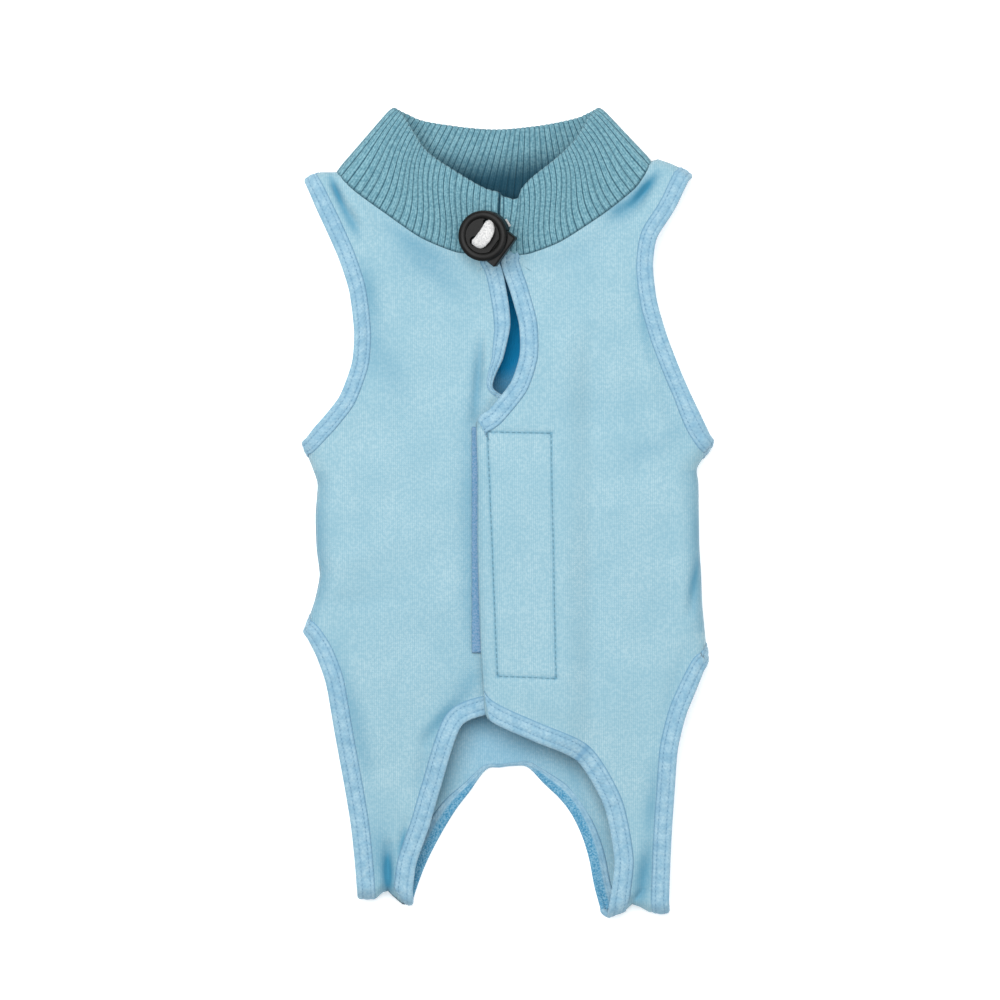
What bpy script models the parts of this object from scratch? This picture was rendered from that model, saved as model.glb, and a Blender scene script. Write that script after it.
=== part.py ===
"""Cat recovery suit, lying on its back with the belly side up.

A sleeveless jersey body suit: back panel, two front panels that lap over each other and
close with hook and loop tape, a folded rib collar with an elastic cord and a two-hole cord
lock, and bindings round the arm holes, the hind leg holes, the crotch hole and the keyhole.
X is the suit's width, +Y points to the collar and +Z up off the floor.
"""
import math

import bmesh
import bpy
from mathutils import Matrix, Vector

# Overall sizes of the lying suit
suitLength = 0.340
suitWidth = 0.171
puffHeight = 0.0140
sideRound = 0.0090
endRound = 0.0050

# Cloth, bindings and tapes
clothThickness = 0.0012
bindingWidth = 0.0066
bindingThickness = 0.0024
tapeThickness = 0.0008
seamGap = 0.0003
seamRise = 0.0004
floorClear = 0.0001
neckClear = 0.0012

# Collar, folded double and knitted in ribs
collarWall = 0.0026
ribPitch = 0.00265
ribDepth = 0.0005
collarPuff = 0.0120
collarRound = 0.0100

# Cord lock and its elastic cord
lockDiameter = 0.0214
lockThickness = 0.0070
lockFlat = 0.0065
lockEdge = 0.0012
lockTilt = math.radians(16)
lockTurn = math.radians(143)
lockPlace = (-0.115, 0.840)
lockClear = 0.0042
lockWall = 0.0012
cordDiameter = 0.0034
cordHole = 0.0043
holeSpread = 0.0096
holeForward = 0.0014
holeAside = -0.0010
cordLoopHeight = 0.0027
cordLoopBow = 0.0014
cordStart = (0.004, 0.857)
plungerWidth = 0.0155
plungerHeight = 0.0044
plungerReach = 0.0118
plungerTravel = 0.0020
plungerClear = 0.0003
plungerEdge = 0.0006

partName = "cat_recovery_suit"
halfWidth = suitWidth / 2

# How finely shapes are traced and welded
slopeStep = 0.00002
traceSteps = 4
weldReach = 0.00001
arcSides = 10
lockSides = 40
holeSides = 20
bevelAngle = math.radians(60)
smoothAngle = math.radians(30)

# One row for each station down the suit, from the shoulder to the leg end. Each pair is a
# share of the half width and of the length: left outer, right outer, left front inner,
# right front inner. Rows 0 to 10 run down the arm hole, 11 to 16 down the side seam and
# 17 to 25 down the hind leg hole.
stations = [
    (-0.998, 0.907, 0.900, 0.910, -0.835, 0.916, 0.698, 0.928),
    (-0.929, 0.867, 0.811, 0.869, -0.742, 0.895, 0.619, 0.900),
    (-0.835, 0.814, 0.732, 0.837, -0.604, 0.870, 0.467, 0.869),
    (-0.781, 0.772, 0.713, 0.802, -0.432, 0.840, 0.260, 0.835),
    (-0.757, 0.723, 0.732, 0.760, -0.260, 0.822, 0.108, 0.820),
    (-0.767, 0.684, 0.781, 0.717, -0.056, 0.812, -0.016, 0.812),
    (-0.826, 0.643, 0.845, 0.675, -0.004, 0.768, 0.020, 0.768),
    (-0.904, 0.617, 0.904, 0.641, 0.012, 0.730, 0.054, 0.730),
    (-0.948, 0.604, 0.948, 0.617, -0.022, 0.690, 0.057, 0.693),
    (-0.985, 0.591, 0.985, 0.596, -0.072, 0.652, 0.013, 0.659),
    (-1.000, 0.584, 1.000, 0.585, 0.100, 0.628, -0.088, 0.627),
    (-0.953, 0.553, 0.924, 0.554, 0.236, 0.618, -0.147, 0.600),
    (-0.929, 0.533, 0.929, 0.533, 0.236, 0.564, -0.147, 0.551),
    (-0.939, 0.495, 0.931, 0.495, 0.236, 0.501, -0.147, 0.495),
    (-0.934, 0.454, 0.934, 0.454, 0.236, 0.454, -0.147, 0.454),
    (-0.919, 0.421, 0.943, 0.421, 0.236, 0.415, -0.143, 0.415),
    (-0.943, 0.390, 0.948, 0.384, 0.236, 0.378, -0.138, 0.378),
    (-0.993, 0.351, 0.973, 0.315, 0.236, 0.341, -0.133, 0.341),
    (-0.978, 0.341, 0.958, 0.302, 0.236, 0.314, -0.128, 0.314),
    (-0.939, 0.320, 0.921, 0.277, 0.236, 0.281, -0.118, 0.279),
    (-0.894, 0.286, 0.875, 0.247, -0.015, 0.253, -0.084, 0.242),
    (-0.850, 0.223, 0.835, 0.205, -0.260, 0.220, 0.157, 0.214),
    (-0.801, 0.156, 0.818, 0.149, -0.329, 0.156, 0.403, 0.168),
    (-0.771, 0.109, 0.806, 0.106, -0.388, 0.112, 0.491, 0.119),
    (-0.752, 0.063, 0.796, 0.052, -0.447, 0.063, 0.518, 0.060),
    (-0.740, 0.021, 0.791, 0.007, -0.472, 0.021, 0.490, 0.007),
]
armTip = 10
legTip = 17
legEnd = 25
neckEnd = 5
underlapTop = 9.5
flapTop = 11
flapBottom = 19
archStart = 19
archEnd = 22
edgeTension = 0.35

# Rows in between, close together where the cloth folds over at shoulder and leg end
rowSteps = (
    [0, 0.05, 0.18, 0.5, 1, 1.5, 2, 3, 4, 5, 5.5, 6, 7, 8, 9, 9.5, 10, 11, 11.3, 12, 13, 14, 15]
    + [16, 17, 18, 19, 19.5, 20, 20.5, 21, 21.5, 22, 22.5, 23, 24, 24.5, 24.8, 24.95, 25]
)

# Edge of the crotch hole on the back: station, left x, left y, right x, right y in shares
backStrips = [
    (22, -0.192, 0.152, 0.241, 0.147),
    (23, -0.305, 0.111, 0.339, 0.111),
    (24, -0.393, 0.064, 0.403, 0.060),
    (25, -0.472, 0.021, 0.490, 0.007),
]
archTop = (0.034, 0.185)
archPoints = 6
archFullness = 0.75
backNeckDip = 0.026
backNeckFullness = 0.8
cornerShares = (0.10, 0.33)

# Columns of a row: shares of the round at a side fold, and limits for short rows
roundShares = (0.0, 0.134, 0.5, 1.0)
longestRound = 0.45
longestLap = 0.4
plainColumns = 2

# Half the suit's puff along its length: share of length, share of puffHeight
puffRows = [
    (0.00, 0.36),
    (0.12, 0.36),
    (0.30, 0.45),
    (0.50, 0.50),
    (0.70, 0.48),
    (0.86, 0.44),
    (1.00, 0.42),
]

# Soft folds of the front: start x, start y, end x, end y, width, depth, all in shares of
# the half width, the length, the half width and the puff
foldRows = [
    (-0.70, 0.80, -0.62, 0.60, 0.10, -0.10),
    (-0.80, 0.50, -0.45, 0.62, 0.10, 0.09),
    (-0.75, 0.33, -0.40, 0.42, 0.10, -0.09),
    (0.62, 0.82, 0.45, 0.66, 0.10, -0.09),
    (0.45, 0.52, 0.85, 0.50, 0.09, 0.08),
    (0.84, 0.46, 0.80, 0.36, 0.07, -0.10),
]
foldFade = 0.1

# Collar edge to edge: bottom share x, y and top share x, y, from the left fold across the
# front to the right fold, then back across the rear
collarFrontTop = [
    (0, -0.555, 0.992),
    (1, -0.500, 0.978),
    (2, -0.455, 0.955),
    (3, -0.376, 0.930),
    (4, -0.235, 0.903),
    (5, -0.050, 0.893),
]
collarFrontTopRight = [
    (0, 0.450, 0.992),
    (1, 0.388, 0.975),
    (2, 0.345, 0.948),
    (3, 0.225, 0.925),
    (4, 0.105, 0.902),
    (5, 0.000, 0.890),
]
collarBackTop = [
    (0.00, 0.450, 0.992),
    (0.14, 0.329, 0.981),
    (0.35, 0.140, 0.970),
    (0.60, -0.098, 0.966),
    (0.84, -0.400, 0.977),
    (1.00, -0.555, 0.992),
]

# Collar wall up its height: share of the height, of half the wall and of the rib's depth
collarLevels = [
    (0.00, 0.46, 0.0),
    (0.14, 1.00, 1.0),
    (0.60, 1.00, 1.0),
    (0.96, 0.70, 0.6),
]
collarCrown = 0.6

# Tapes: left x, right x, bottom y, top y in shares
loopTapeArea = (-0.177, 0.190, 0.325, 0.604)
hookTapeArea = (-0.098, 0.200, 0.325, 0.576)
tapeRows = 9
tapeColumns = 3

# Lap of the right front: its reach across, its rise, and where the rise fades out at the
# side, top and bottom, each as the share where the fade starts and its width
lapReach = 0.034
flapRise = clothThickness + 2 * tapeThickness + 3 * seamGap
flapSideFade = (0.27, 0.16)
flapTopFade = (0.69, 0.07)
flapBottomFade = (0.165, 0.06)

# Binding's edge thickness and the drawcord's route, as shares
bindingEdge = 0.5
cordTurns = 8
cordInside = 0.5
cordUnder = 0.4
cordEnd = 0.2


def makeMaterial(name, colour, roughness):
    material = bpy.data.materials.new(name)
    material.use_nodes = True
    shader = material.node_tree.nodes["Principled BSDF"]
    shader.inputs["Base Color"].default_value = (*colour, 1.0)
    shader.inputs["Roughness"].default_value = roughness
    return material


def makeCollection(name):
    collection = bpy.data.collections.new(name)
    bpy.context.scene.collection.children.link(collection)
    return collection


def placeX(share):
    return share * halfWidth


def placeY(share):
    return (share - 0.5) * suitLength


def tableValue(rows, key, column):
    """Value of one column of a table at a key between its rows."""
    if key <= rows[0][0]:
        return rows[0][column]
    for low, high in zip(rows, rows[1:]):
        if key <= high[0]:
            part = (key - low[0]) / (high[0] - low[0])
            return low[column] + part * (high[column] - low[column])
    return rows[-1][column]


def smoothStep(value):
    value = min(1.0, max(0.0, value))
    return value * value * (3 - 2 * value)


def stationPoint(step, column):
    """Point (x, y) of the station table at a fractional row, on a soft curve."""
    low = min(int(step), len(stations) - 2)
    part = step - low
    picked = []
    for row in (low - 1, low, low + 1, low + 2):
        row = min(max(row, 0), len(stations) - 1)
        entry = stations[row]
        picked.append(Vector((placeX(entry[column]), placeY(entry[column + 1]))))
    before, start, end, after = picked
    startSlope = (end - before) * edgeTension
    endSlope = (after - start) * edgeTension
    square = part * part
    cube = square * part
    return (
        start * (2 * cube - 3 * square + 1)
        + startSlope * (cube - 2 * square + part)
        + end * (3 * square - 2 * cube)
        + endSlope * (cube - square)
    )


def sideLine(y, column):
    """Where the side fold runs at a height y: the side seam, and straight on past its ends."""
    rows = [(placeY(stations[row][column + 1]), placeX(stations[row][column]))
            for row in range(legTip, armTip - 1, -1)]
    return tableValue(rows, y, 1)


def roundOver(distance, radius):
    """Square of the height share near a fold: 0 on the fold, 1 from one radius inwards."""
    share = distance / radius
    return share * (2 - share) if share < 1 else 1.0


def shoulderLine(x):
    left = Vector((placeX(stations[0][0]), placeY(stations[0][1])))
    leftNeck = Vector((placeX(stations[0][4]), placeY(stations[0][5])))
    rightNeck = Vector((placeX(stations[0][6]), placeY(stations[0][7])))
    right = Vector((placeX(stations[0][2]), placeY(stations[0][3])))
    rows = [(point.x, point.y) for point in (left, leftNeck, rightNeck, right)]
    return tableValue(rows, x, 1)


def legEndLine(x):
    rows = [(placeX(stations[legEnd][4]), placeY(stations[legEnd][5])),
            (placeX(stations[legEnd][6]), placeY(stations[legEnd][7]))]
    return tableValue(rows, x, 1)


def halfPuff(y):
    return puffHeight * tableValue(puffRows, y / suitLength + 0.5, 1)


def middleHeight(y):
    return halfPuff(y) + clothThickness / 2


def openness(x, y):
    """Square of the height share of the puffed suit at a place."""
    across = roundOver(x - sideLine(y, 0), sideRound) * roundOver(sideLine(y, 2) - x, sideRound)
    along = roundOver(shoulderLine(x) - y, endRound) * roundOver(y - legEndLine(x), endRound)
    return across * along


def suitShape(point):
    """Zero on the puffed suit's middle surface, above zero outside it."""
    height = (point.z - middleHeight(point.y)) / halfPuff(point.y)
    return height * height - openness(point.x, point.y)


def shapeSlope(point):
    slopes = []
    for axis in range(3):
        ahead = point.copy()
        behind = point.copy()
        ahead[axis] += slopeStep
        behind[axis] -= slopeStep
        slopes.append((suitShape(ahead) - suitShape(behind)) / (2 * slopeStep))
    return Vector(slopes)


def outwardNormal(point):
    return shapeSlope(point).normalized()


def foldHeight(x, y):
    """Height that the soft folds add to the front."""
    height = 0.0
    for startX, startY, endX, endY, width, depth in foldRows:
        start = Vector((placeX(startX), placeY(startY)))
        along = Vector((placeX(endX), placeY(endY))) - start
        offset = Vector((x, y)) - start
        part = min(1.0, max(0.0, offset.dot(along) / along.length_squared))
        gap = (offset - along * part).length / (width * halfWidth)
        swell = math.sin(math.pi * (foldFade + (1 - 2 * foldFade) * part))
        height += depth * puffHeight * math.exp(-gap * gap) * swell
    return height


def flapHeight(x, y):
    """Height that lifts the right front over the left one where they lap."""
    across = 1 - smoothStep((x / halfWidth - flapSideFade[0]) / flapSideFade[1])
    share = y / suitLength + 0.5
    above = 1 - smoothStep((share - flapTopFade[0]) / flapTopFade[1])
    below = smoothStep((share - flapBottomFade[0]) / flapBottomFade[1])
    return flapRise * across * above * below


def surfacePoint(x, y, side, lapped=False):
    """Point of the suit's middle surface, side 1 for the front and -1 for the back."""
    share = math.sqrt(max(0.0, openness(x, y)))
    rise = max(halfPuff(y) * share, seamRise)
    z = middleHeight(y) + side * rise
    if side > 0:
        z += foldHeight(x, y) * share
        if lapped:
            z += flapHeight(x, y) * share
    return Vector((x, y, z))


def foldPoint(x, y):
    """Point on the fold line itself, half way between front and back."""
    return Vector((x, y, middleHeight(y)))


def projected(point):
    """Nearest point of the plain puffed surface to a point close to it."""
    found = point.copy()
    for _ in range(traceSteps):
        slope = shapeSlope(found)
        found -= slope * (suitShape(found) / slope.length_squared)
    return found


class EdgePath:
    """A free edge of the suit, with the directions that its binding follows."""

    def __init__(self, points, closed, inwardSign, lapped=None):
        self.points = points
        self.closed = closed
        self.lapped = lapped or [False] * len(points)
        self.normals = []
        self.inward = []
        count = len(points)
        for index, point in enumerate(points):
            if closed:
                ahead = points[(index + 1) % count]
                behind = points[index - 1]
            else:
                ahead = points[min(index + 1, count - 1)]
                behind = points[max(index - 1, 0)]
            tangent = (ahead - behind).normalized()
            normal = outwardNormal(projected(point))
            normal = (normal - tangent * normal.dot(tangent)).normalized()
            self.normals.append(normal)
            self.inward.append(normal.cross(tangent) * inwardSign)

    def offset(self, index, distance):
        """Point this far into the cloth from the edge, kept on the suit's surface."""
        point = self.points[index].copy()
        for _ in range(traceSteps):
            point = projected(point + self.inward[index] * (distance / traceSteps))
        return point


def liftedPoint(point, lapped):
    """The same place with the front's folds and lap added, for a point on the plain surface."""
    height = (point.z - middleHeight(point.y)) / halfPuff(point.y)
    share = min(1.0, max(0.0, height))
    rise = foldHeight(point.x, point.y)
    if lapped:
        rise += flapHeight(point.x, point.y)
    low = min(1.0, max(0.0, -height))
    lift = (bindingThickness - clothThickness) / 2 + floorClear
    return point + Vector((0, 0, rise * share + lift * low))


def plainPoint(x, y, side):
    share = math.sqrt(max(0.0, openness(x, y)))
    return Vector((x, y, middleHeight(y) + side * halfPuff(y) * share))


def frontBackLoop(steps, column):
    """Path down the front along one edge and back up the rear of the same edge."""
    front = [stationPoint(step, column) for step in steps]
    points = [plainPoint(place.x, place.y, 1) for place in front]
    rear = [plainPoint(place.x, place.y, -1) for place in reversed(front[1:-1])]
    points[0] = foldPoint(front[0].x, front[0].y)
    points[-1] = foldPoint(front[-1].x, front[-1].y)
    return points + rear


def stepsBetween(first, last):
    return [step for step in rowSteps if first <= step <= last]


def gridObject(name, rows, material, collection, thickness):
    """Open sheet lofted through rows of points, made solid with Solidify."""
    mesh = bpy.data.meshes.new(name)
    shape = bmesh.new()
    made = [[shape.verts.new(point) for point in row] for row in rows]
    for upper, lower in zip(made, made[1:]):
        for index in range(len(upper) - 1):
            shape.faces.new((upper[index], upper[index + 1], lower[index + 1], lower[index]))
    bmesh.ops.remove_doubles(shape, verts=shape.verts, dist=weldReach)
    bmesh.ops.recalc_face_normals(shape, faces=shape.faces)
    shape.to_mesh(mesh)
    shape.free()
    return sheetObject(name, mesh, material, collection, thickness)


def sheetObject(name, mesh, material, collection, thickness):
    mesh.materials.append(material)
    made = bpy.data.objects.new(name, mesh)
    collection.objects.link(made)
    wall = made.modifiers.new("Wall", "SOLIDIFY")
    wall.thickness = thickness
    wall.offset = 0
    wall.use_even_offset = False
    return made


def ringSolid(name, sections, closed, material, collection):
    """Solid lofted through like sections, each a ring of points."""
    mesh = bpy.data.meshes.new(name)
    shape = bmesh.new()
    made = [[shape.verts.new(point) for point in section] for section in sections]
    count = len(made)
    sides = len(made[0])
    for index in range(count if closed else count - 1):
        first = made[index]
        second = made[(index + 1) % count]
        for side in range(sides):
            after = (side + 1) % sides
            shape.faces.new((first[side], first[after], second[after], second[side]))
    if not closed:
        shape.faces.new(made[0])
        shape.faces.new(list(reversed(made[-1])))
    bmesh.ops.recalc_face_normals(shape, faces=shape.faces)
    shape.to_mesh(mesh)
    shape.free()
    mesh.materials.append(material)
    ring = bpy.data.objects.new(name, mesh)
    collection.objects.link(ring)
    return ring


def makeBinding(name, path, material, collection):
    """Folded binding as one band along a free edge, its inner side facing the cloth's edge."""
    sections = []
    half = bindingThickness / 2
    for index in range(len(path.points)):
        lapped = path.lapped[index]
        outer = liftedPoint(path.points[index], lapped)
        middle = liftedPoint(path.offset(index, bindingWidth / 2), lapped)
        inner = liftedPoint(path.offset(index, bindingWidth), lapped)
        normal = path.normals[index]
        innerNormal = outwardNormal(path.offset(index, bindingWidth))
        middleNormal = (normal + innerNormal).normalized()
        sections.append([
            outer + normal * half * bindingEdge,
            middle + middleNormal * half,
            inner + innerNormal * half,
            inner - innerNormal * half,
            middle - middleNormal * half,
            outer - normal * half * bindingEdge,
        ])
    return ringSolid(name, sections, path.closed, material, collection)


def acrossShares(length):
    """Shares along a row, close together where the side rounds over."""
    radius = min(sideRound, length * longestRound)
    near = [share * radius / length for share in roundShares]
    last = near[-1]
    return near + [last + (1 - last) * (index + 1) / plainColumns
                   for index in range(plainColumns)]


def frontPanel(name, outerEdge, innerEdge, lapped, material, collection):
    """One front, its rows running from the side to the opening."""
    rows = []
    for outer, inner in zip(outerEdge, innerEdge):
        span = inner - outer
        lap = min(lapReach, span.length * longestLap) / span.length
        shares = [share * (1 - lap) for share in acrossShares(span.length * (1 - lap))]
        shares += [1 - lap / 2, 1.0]
        rows.append([surfacePoint(*(outer + span * share), 1, lapped) for share in shares])
    return gridObject(name, rows, material, collection, clothThickness)


def flat(point):
    return Vector((point.x, point.y))


def outerClothEdge(column, armPath, legPath):
    """Cloth edge down one side: inside the arm binding, along the seam, inside the leg's."""
    reach = bindingWidth + seamGap
    armSteps = stepsBetween(0, armTip)
    legSteps = stepsBetween(legTip, legEnd)
    edge = []
    for step in rowSteps:
        if step <= armTip:
            edge.append(flat(armPath.offset(armSteps.index(step), reach)))
        elif step < legTip:
            place = stationPoint(step, column)
            edge.append(Vector((sideLine(place.y, column), place.y)))
        else:
            edge.append(flat(legPath.offset(legSteps.index(step), reach)))
    return edge


def innerClothEdge(column, keyholePath, keyholeEnd, crotchEdge):
    """Cloth edge down the front opening: neckline, keyhole, lap and crotch."""
    reach = bindingWidth + seamGap
    keySteps = stepsBetween(neckEnd, keyholeEnd)
    crotchSteps = stepsBetween(flapBottom, legEnd)
    edge = []
    for step in rowSteps:
        if step < neckEnd:
            edge.append(stationPoint(step, column))
        elif step <= keyholeEnd:
            edge.append(flat(keyholePath.offset(keySteps.index(step), reach)))
        elif step < flapBottom:
            edge.append(stationPoint(step, column))
        else:
            edge.append(crotchEdge[crotchSteps.index(step)])
    return edge


def keyholeLoop(column, lastStep, inwardSign, lapped):
    """Edge of the keyhole, starting just below the collar."""
    steps = stepsBetween(neckEnd, lastStep)
    points = []
    for step in steps:
        place = stationPoint(step, column)
        points.append(plainPoint(place.x, place.y, 1))
    points[0].y -= neckClear
    return EdgePath(points, False, inwardSign, [lapped] * len(points))


def stripEdge(step, side):
    """Edge of the crotch hole on a back strip, side 0 for left and 1 for right."""
    return Vector((placeX(tableValue(backStrips, step, 1 + 2 * side)),
                   placeY(tableValue(backStrips, step, 2 + 2 * side))))


def archEdge():
    """Top of the crotch hole on the back, from its left side to its right."""
    left = stripEdge(archEnd, 0)
    right = stripEdge(archEnd, 1)
    rise = placeY(archTop[1]) - (left.y + right.y) / 2
    edge = []
    for index in range(1, archPoints):
        share = index / archPoints
        place = left.lerp(right, share)
        edge.append(place + Vector((0, rise * math.sin(math.pi * share) ** archFullness)))
    return edge


def crotchLoop():
    """Edge of the crotch hole: left front, left back, arch, right back and right front."""
    frontSteps = stepsBetween(flapBottom, legEnd)
    backSteps = stepsBetween(archEnd, legEnd)
    points = []
    for step in frontSteps[:-1]:
        place = stationPoint(step, 4)
        points.append(plainPoint(place.x, place.y, 1))
    leftFold = stationPoint(legEnd, 4)
    points.append(foldPoint(leftFold.x, leftFold.y))
    for step in reversed(backSteps[:-1]):
        place = stripEdge(step, 0)
        points.append(plainPoint(place.x, place.y, -1))
    for place in archEdge():
        points.append(plainPoint(place.x, place.y, -1))
    for step in backSteps[:-1]:
        place = stripEdge(step, 1)
        points.append(plainPoint(place.x, place.y, -1))
    rightFold = stationPoint(legEnd, 6)
    points.append(foldPoint(rightFold.x, rightFold.y))
    for step in reversed(frontSteps[:-1]):
        place = stationPoint(step, 6)
        points.append(plainPoint(place.x, place.y, 1))
    lapped = [False] * (len(points) - len(frontSteps)) + [True] * len(frontSteps)
    return EdgePath(points, False, -1, lapped)


def backPanel(leftEdge, rightEdge, crotchPath, material, collection):
    """Whole back: torso rows with a dip for the neck, then two strips beside the arch."""
    reach = bindingWidth + seamGap
    frontCount = len(stepsBetween(flapBottom, legEnd))
    backSteps = stepsBetween(archEnd, legEnd)
    leftStart = frontCount - 1
    archStartIndex = leftStart + len(backSteps)
    rightStart = archStartIndex + archPoints - 1
    leftStrip = [flat(crotchPath.offset(leftStart + index, reach))
                 for index in range(len(backSteps) - 1, -1, -1)]
    rightStrip = [flat(crotchPath.offset(rightStart + index, reach))
                  for index in range(len(backSteps))]
    arch = [flat(crotchPath.offset(archStartIndex + index, reach))
            for index in range(archPoints - 1)]
    archRow = [leftStrip[0]] + arch + [rightStrip[0]]

    def middleRow(step):
        """Corner, middle and corner places of a torso row."""
        index = rowSteps.index(step)
        left = leftEdge[index]
        right = rightEdge[index]
        share = cornerShares[0] + (cornerShares[1] - cornerShares[0]) * step / archStart
        first = left.lerp(right, share)
        last = left.lerp(right, 1 - share)
        return [first.lerp(last, part / archPoints) for part in range(archPoints + 1)]

    neckRow = backNeckEdge()
    rows = []
    for index, step in enumerate(rowSteps):
        if step < 1:
            under = middleRow(1)
            middle = [top.lerp(low, step) for top, low in zip(neckRow, under)]
        elif step <= archStart:
            middle = middleRow(step)
        elif step <= archEnd:
            share = (step - archStart) / (archEnd - archStart)
            middle = [top.lerp(low, share) for top, low in zip(middleRow(archStart), archRow)]
        else:
            place = backSteps.index(step)
            middle = None
            inner = (leftStrip[place], rightStrip[place])
        if middle:
            inner = (middle[0], middle[-1])
        left = [leftEdge[index].lerp(inner[0], share)
                for share in acrossShares((inner[0] - leftEdge[index]).length)]
        right = [rightEdge[index].lerp(inner[1], share)
                 for share in acrossShares((inner[1] - rightEdge[index]).length)]
        right.reverse()
        rows.append((left, middle[1:-1] if middle else None, right))

    mesh = bpy.data.meshes.new("back_panel")
    shape = bmesh.new()
    made = []
    for left, middle, right in rows:
        parts = []
        for group in (left, middle, right):
            if group is None:
                parts.append(None)
            else:
                parts.append([shape.verts.new(surfacePoint(place.x, place.y, -1))
                              for place in group])
        made.append(parts)
    for upper, lower in zip(made, made[1:]):
        if lower[1] is None:
            spans = [(upper[0], lower[0]), (upper[2], lower[2])]
        else:
            spans = [(upper[0] + upper[1] + upper[2], lower[0] + lower[1] + lower[2])]
        for top, low in spans:
            for index in range(len(top) - 1):
                shape.faces.new((top[index], top[index + 1], low[index + 1], low[index]))
    bmesh.ops.recalc_face_normals(shape, faces=shape.faces)
    shape.to_mesh(mesh)
    shape.free()
    return sheetObject("back_panel", mesh, material, collection, clothThickness)


def backNeckEdge():
    """Back neckline from the left shoulder to the right one."""
    left = stationPoint(0, 4)
    right = stationPoint(0, 6)
    edge = []
    for index in range(archPoints + 1):
        share = index / archPoints
        dip = backNeckDip * suitLength * math.sin(math.pi * share) ** backNeckFullness
        edge.append(left.lerp(right, share) - Vector((0, dip)))
    return edge


def collarLoops():
    """Bottom and top edges of the collar, from the left fold round the front and the back."""
    bottom = []
    top = []
    middle = collarPuff / 2 + collarWall / 2 + floorClear
    frontSteps = stepsBetween(0, neckEnd)

    def topPoint(x, y, side):
        near = min(x - placeX(collarFrontTop[0][1]), placeX(collarFrontTopRight[0][1]) - x)
        rise = collarPuff / 2 * math.sqrt(max(0.0, roundOver(near, collarRound)))
        return Vector((x, y, middle + side * rise))

    for step in frontSteps:
        place = stationPoint(step, 4)
        bottom.append(surfacePoint(place.x, place.y, 1))
        top.append(topPoint(placeX(tableValue(collarFrontTop, step, 1)),
                            placeY(tableValue(collarFrontTop, step, 2)), 1))
    for step in reversed(frontSteps):
        place = stationPoint(step, 6)
        bottom.append(surfacePoint(place.x, place.y, 1))
        top.append(topPoint(placeX(tableValue(collarFrontTopRight, step, 1)),
                            placeY(tableValue(collarFrontTopRight, step, 2)), 1))
    backEdge = list(reversed(backNeckEdge()))
    for index, place in enumerate(backEdge[1:-1]):
        share = (index + 1) / archPoints
        bottom.append(surfacePoint(place.x, place.y, -1))
        top.append(topPoint(placeX(tableValue(collarBackTop, share, 1)),
                            placeY(tableValue(collarBackTop, share, 2)), -1))
    bottom[0] = foldPoint(bottom[0].x, bottom[0].y)
    corner = 2 * len(frontSteps) - 1
    bottom[corner] = foldPoint(bottom[corner].x, bottom[corner].y)
    return bottom, top


def loopSampler(bottom, top):
    """Function that gives both edges' points at a share of the way round the collar."""
    count = len(bottom)
    reach = [0.0]
    for index in range(count):
        after = (index + 1) % count
        low = (bottom[after] - bottom[index]).length
        high = (top[after] - top[index]).length
        reach.append(reach[-1] + (low + high) / 2)
    total = reach[-1]

    def sample(share):
        goal = (share % 1.0) * total
        index = max(place for place in range(count) if reach[place] <= goal)
        part = (goal - reach[index]) / (reach[index + 1] - reach[index])
        after = (index + 1) % count
        return bottom[index].lerp(bottom[after], part), top[index].lerp(top[after], part)

    return sample, total


def makeCollar(material, collection):
    """Rib collar as one ring, its wall ribbed on both faces and round at the top fold."""
    sample, total = loopSampler(*collarLoops())
    ribCount = round(total / ribPitch)
    columns = 2 * ribCount
    half = collarWall / 2
    sections = []
    for column in range(columns):
        share = column / columns
        low, high = sample(share)
        lowBefore, highBefore = sample(share - 1 / columns)
        lowAfter, highAfter = sample(share + 1 / columns)
        along = ((lowAfter - lowBefore) + (highAfter - highBefore)).normalized()
        upward = (high - low).normalized()
        outward = along.cross(upward).normalized()
        start = low + upward * neckClear
        sunk = ribDepth if column % 2 else 0.0
        outside = []
        inside = []
        for part, fullness, ribbed in collarLevels:
            thick = half * fullness
            place = start.lerp(high, part)
            place.z = max(place.z, thick + floorClear)
            outside.append(place + outward * (thick - sunk * ribbed))
            inside.append(place - outward * (thick - sunk * ribbed))
        crown = high + upward * half * collarCrown
        crown.z = max(crown.z, half + floorClear)
        sections.append(outside + [crown] + list(reversed(inside)))
    return ringSolid("collar", sections, True, material, collection)


def makeTape(name, area, rise, lapped, material, collection):
    """Strip of fastening tape lying on the left front or under the right one."""
    left, right, bottom, top = area
    rows = []
    for row in range(tapeRows):
        y = placeY(bottom + (top - bottom) * row / (tapeRows - 1))
        line = []
        for column in range(tapeColumns):
            x = placeX(left + (right - left) * column / (tapeColumns - 1))
            line.append(surfacePoint(x, y, 1, lapped) + Vector((0, 0, rise)))
        rows.append(line)
    return gridObject(name, rows, material, collection, tapeThickness)


def meshFromCurve(name, curve, material, collection):
    """Mesh object of a curve, with its loose caps welded on."""
    holder = bpy.data.objects.new(name + "_curve", curve)
    bpy.context.scene.collection.objects.link(holder)
    bpy.context.view_layer.update()
    graph = bpy.context.evaluated_depsgraph_get()
    mesh = bpy.data.meshes.new_from_object(holder.evaluated_get(graph))
    shape = bmesh.new()
    shape.from_mesh(mesh)
    bmesh.ops.remove_doubles(shape, verts=shape.verts, dist=weldReach)
    bmesh.ops.recalc_face_normals(shape, faces=shape.faces)
    shape.to_mesh(mesh)
    shape.free()
    bpy.data.objects.remove(holder, do_unlink=True)
    mesh.name = name
    mesh.materials.clear()
    mesh.materials.append(material)
    made = bpy.data.objects.new(name, mesh)
    collection.objects.link(made)
    return made


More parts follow.
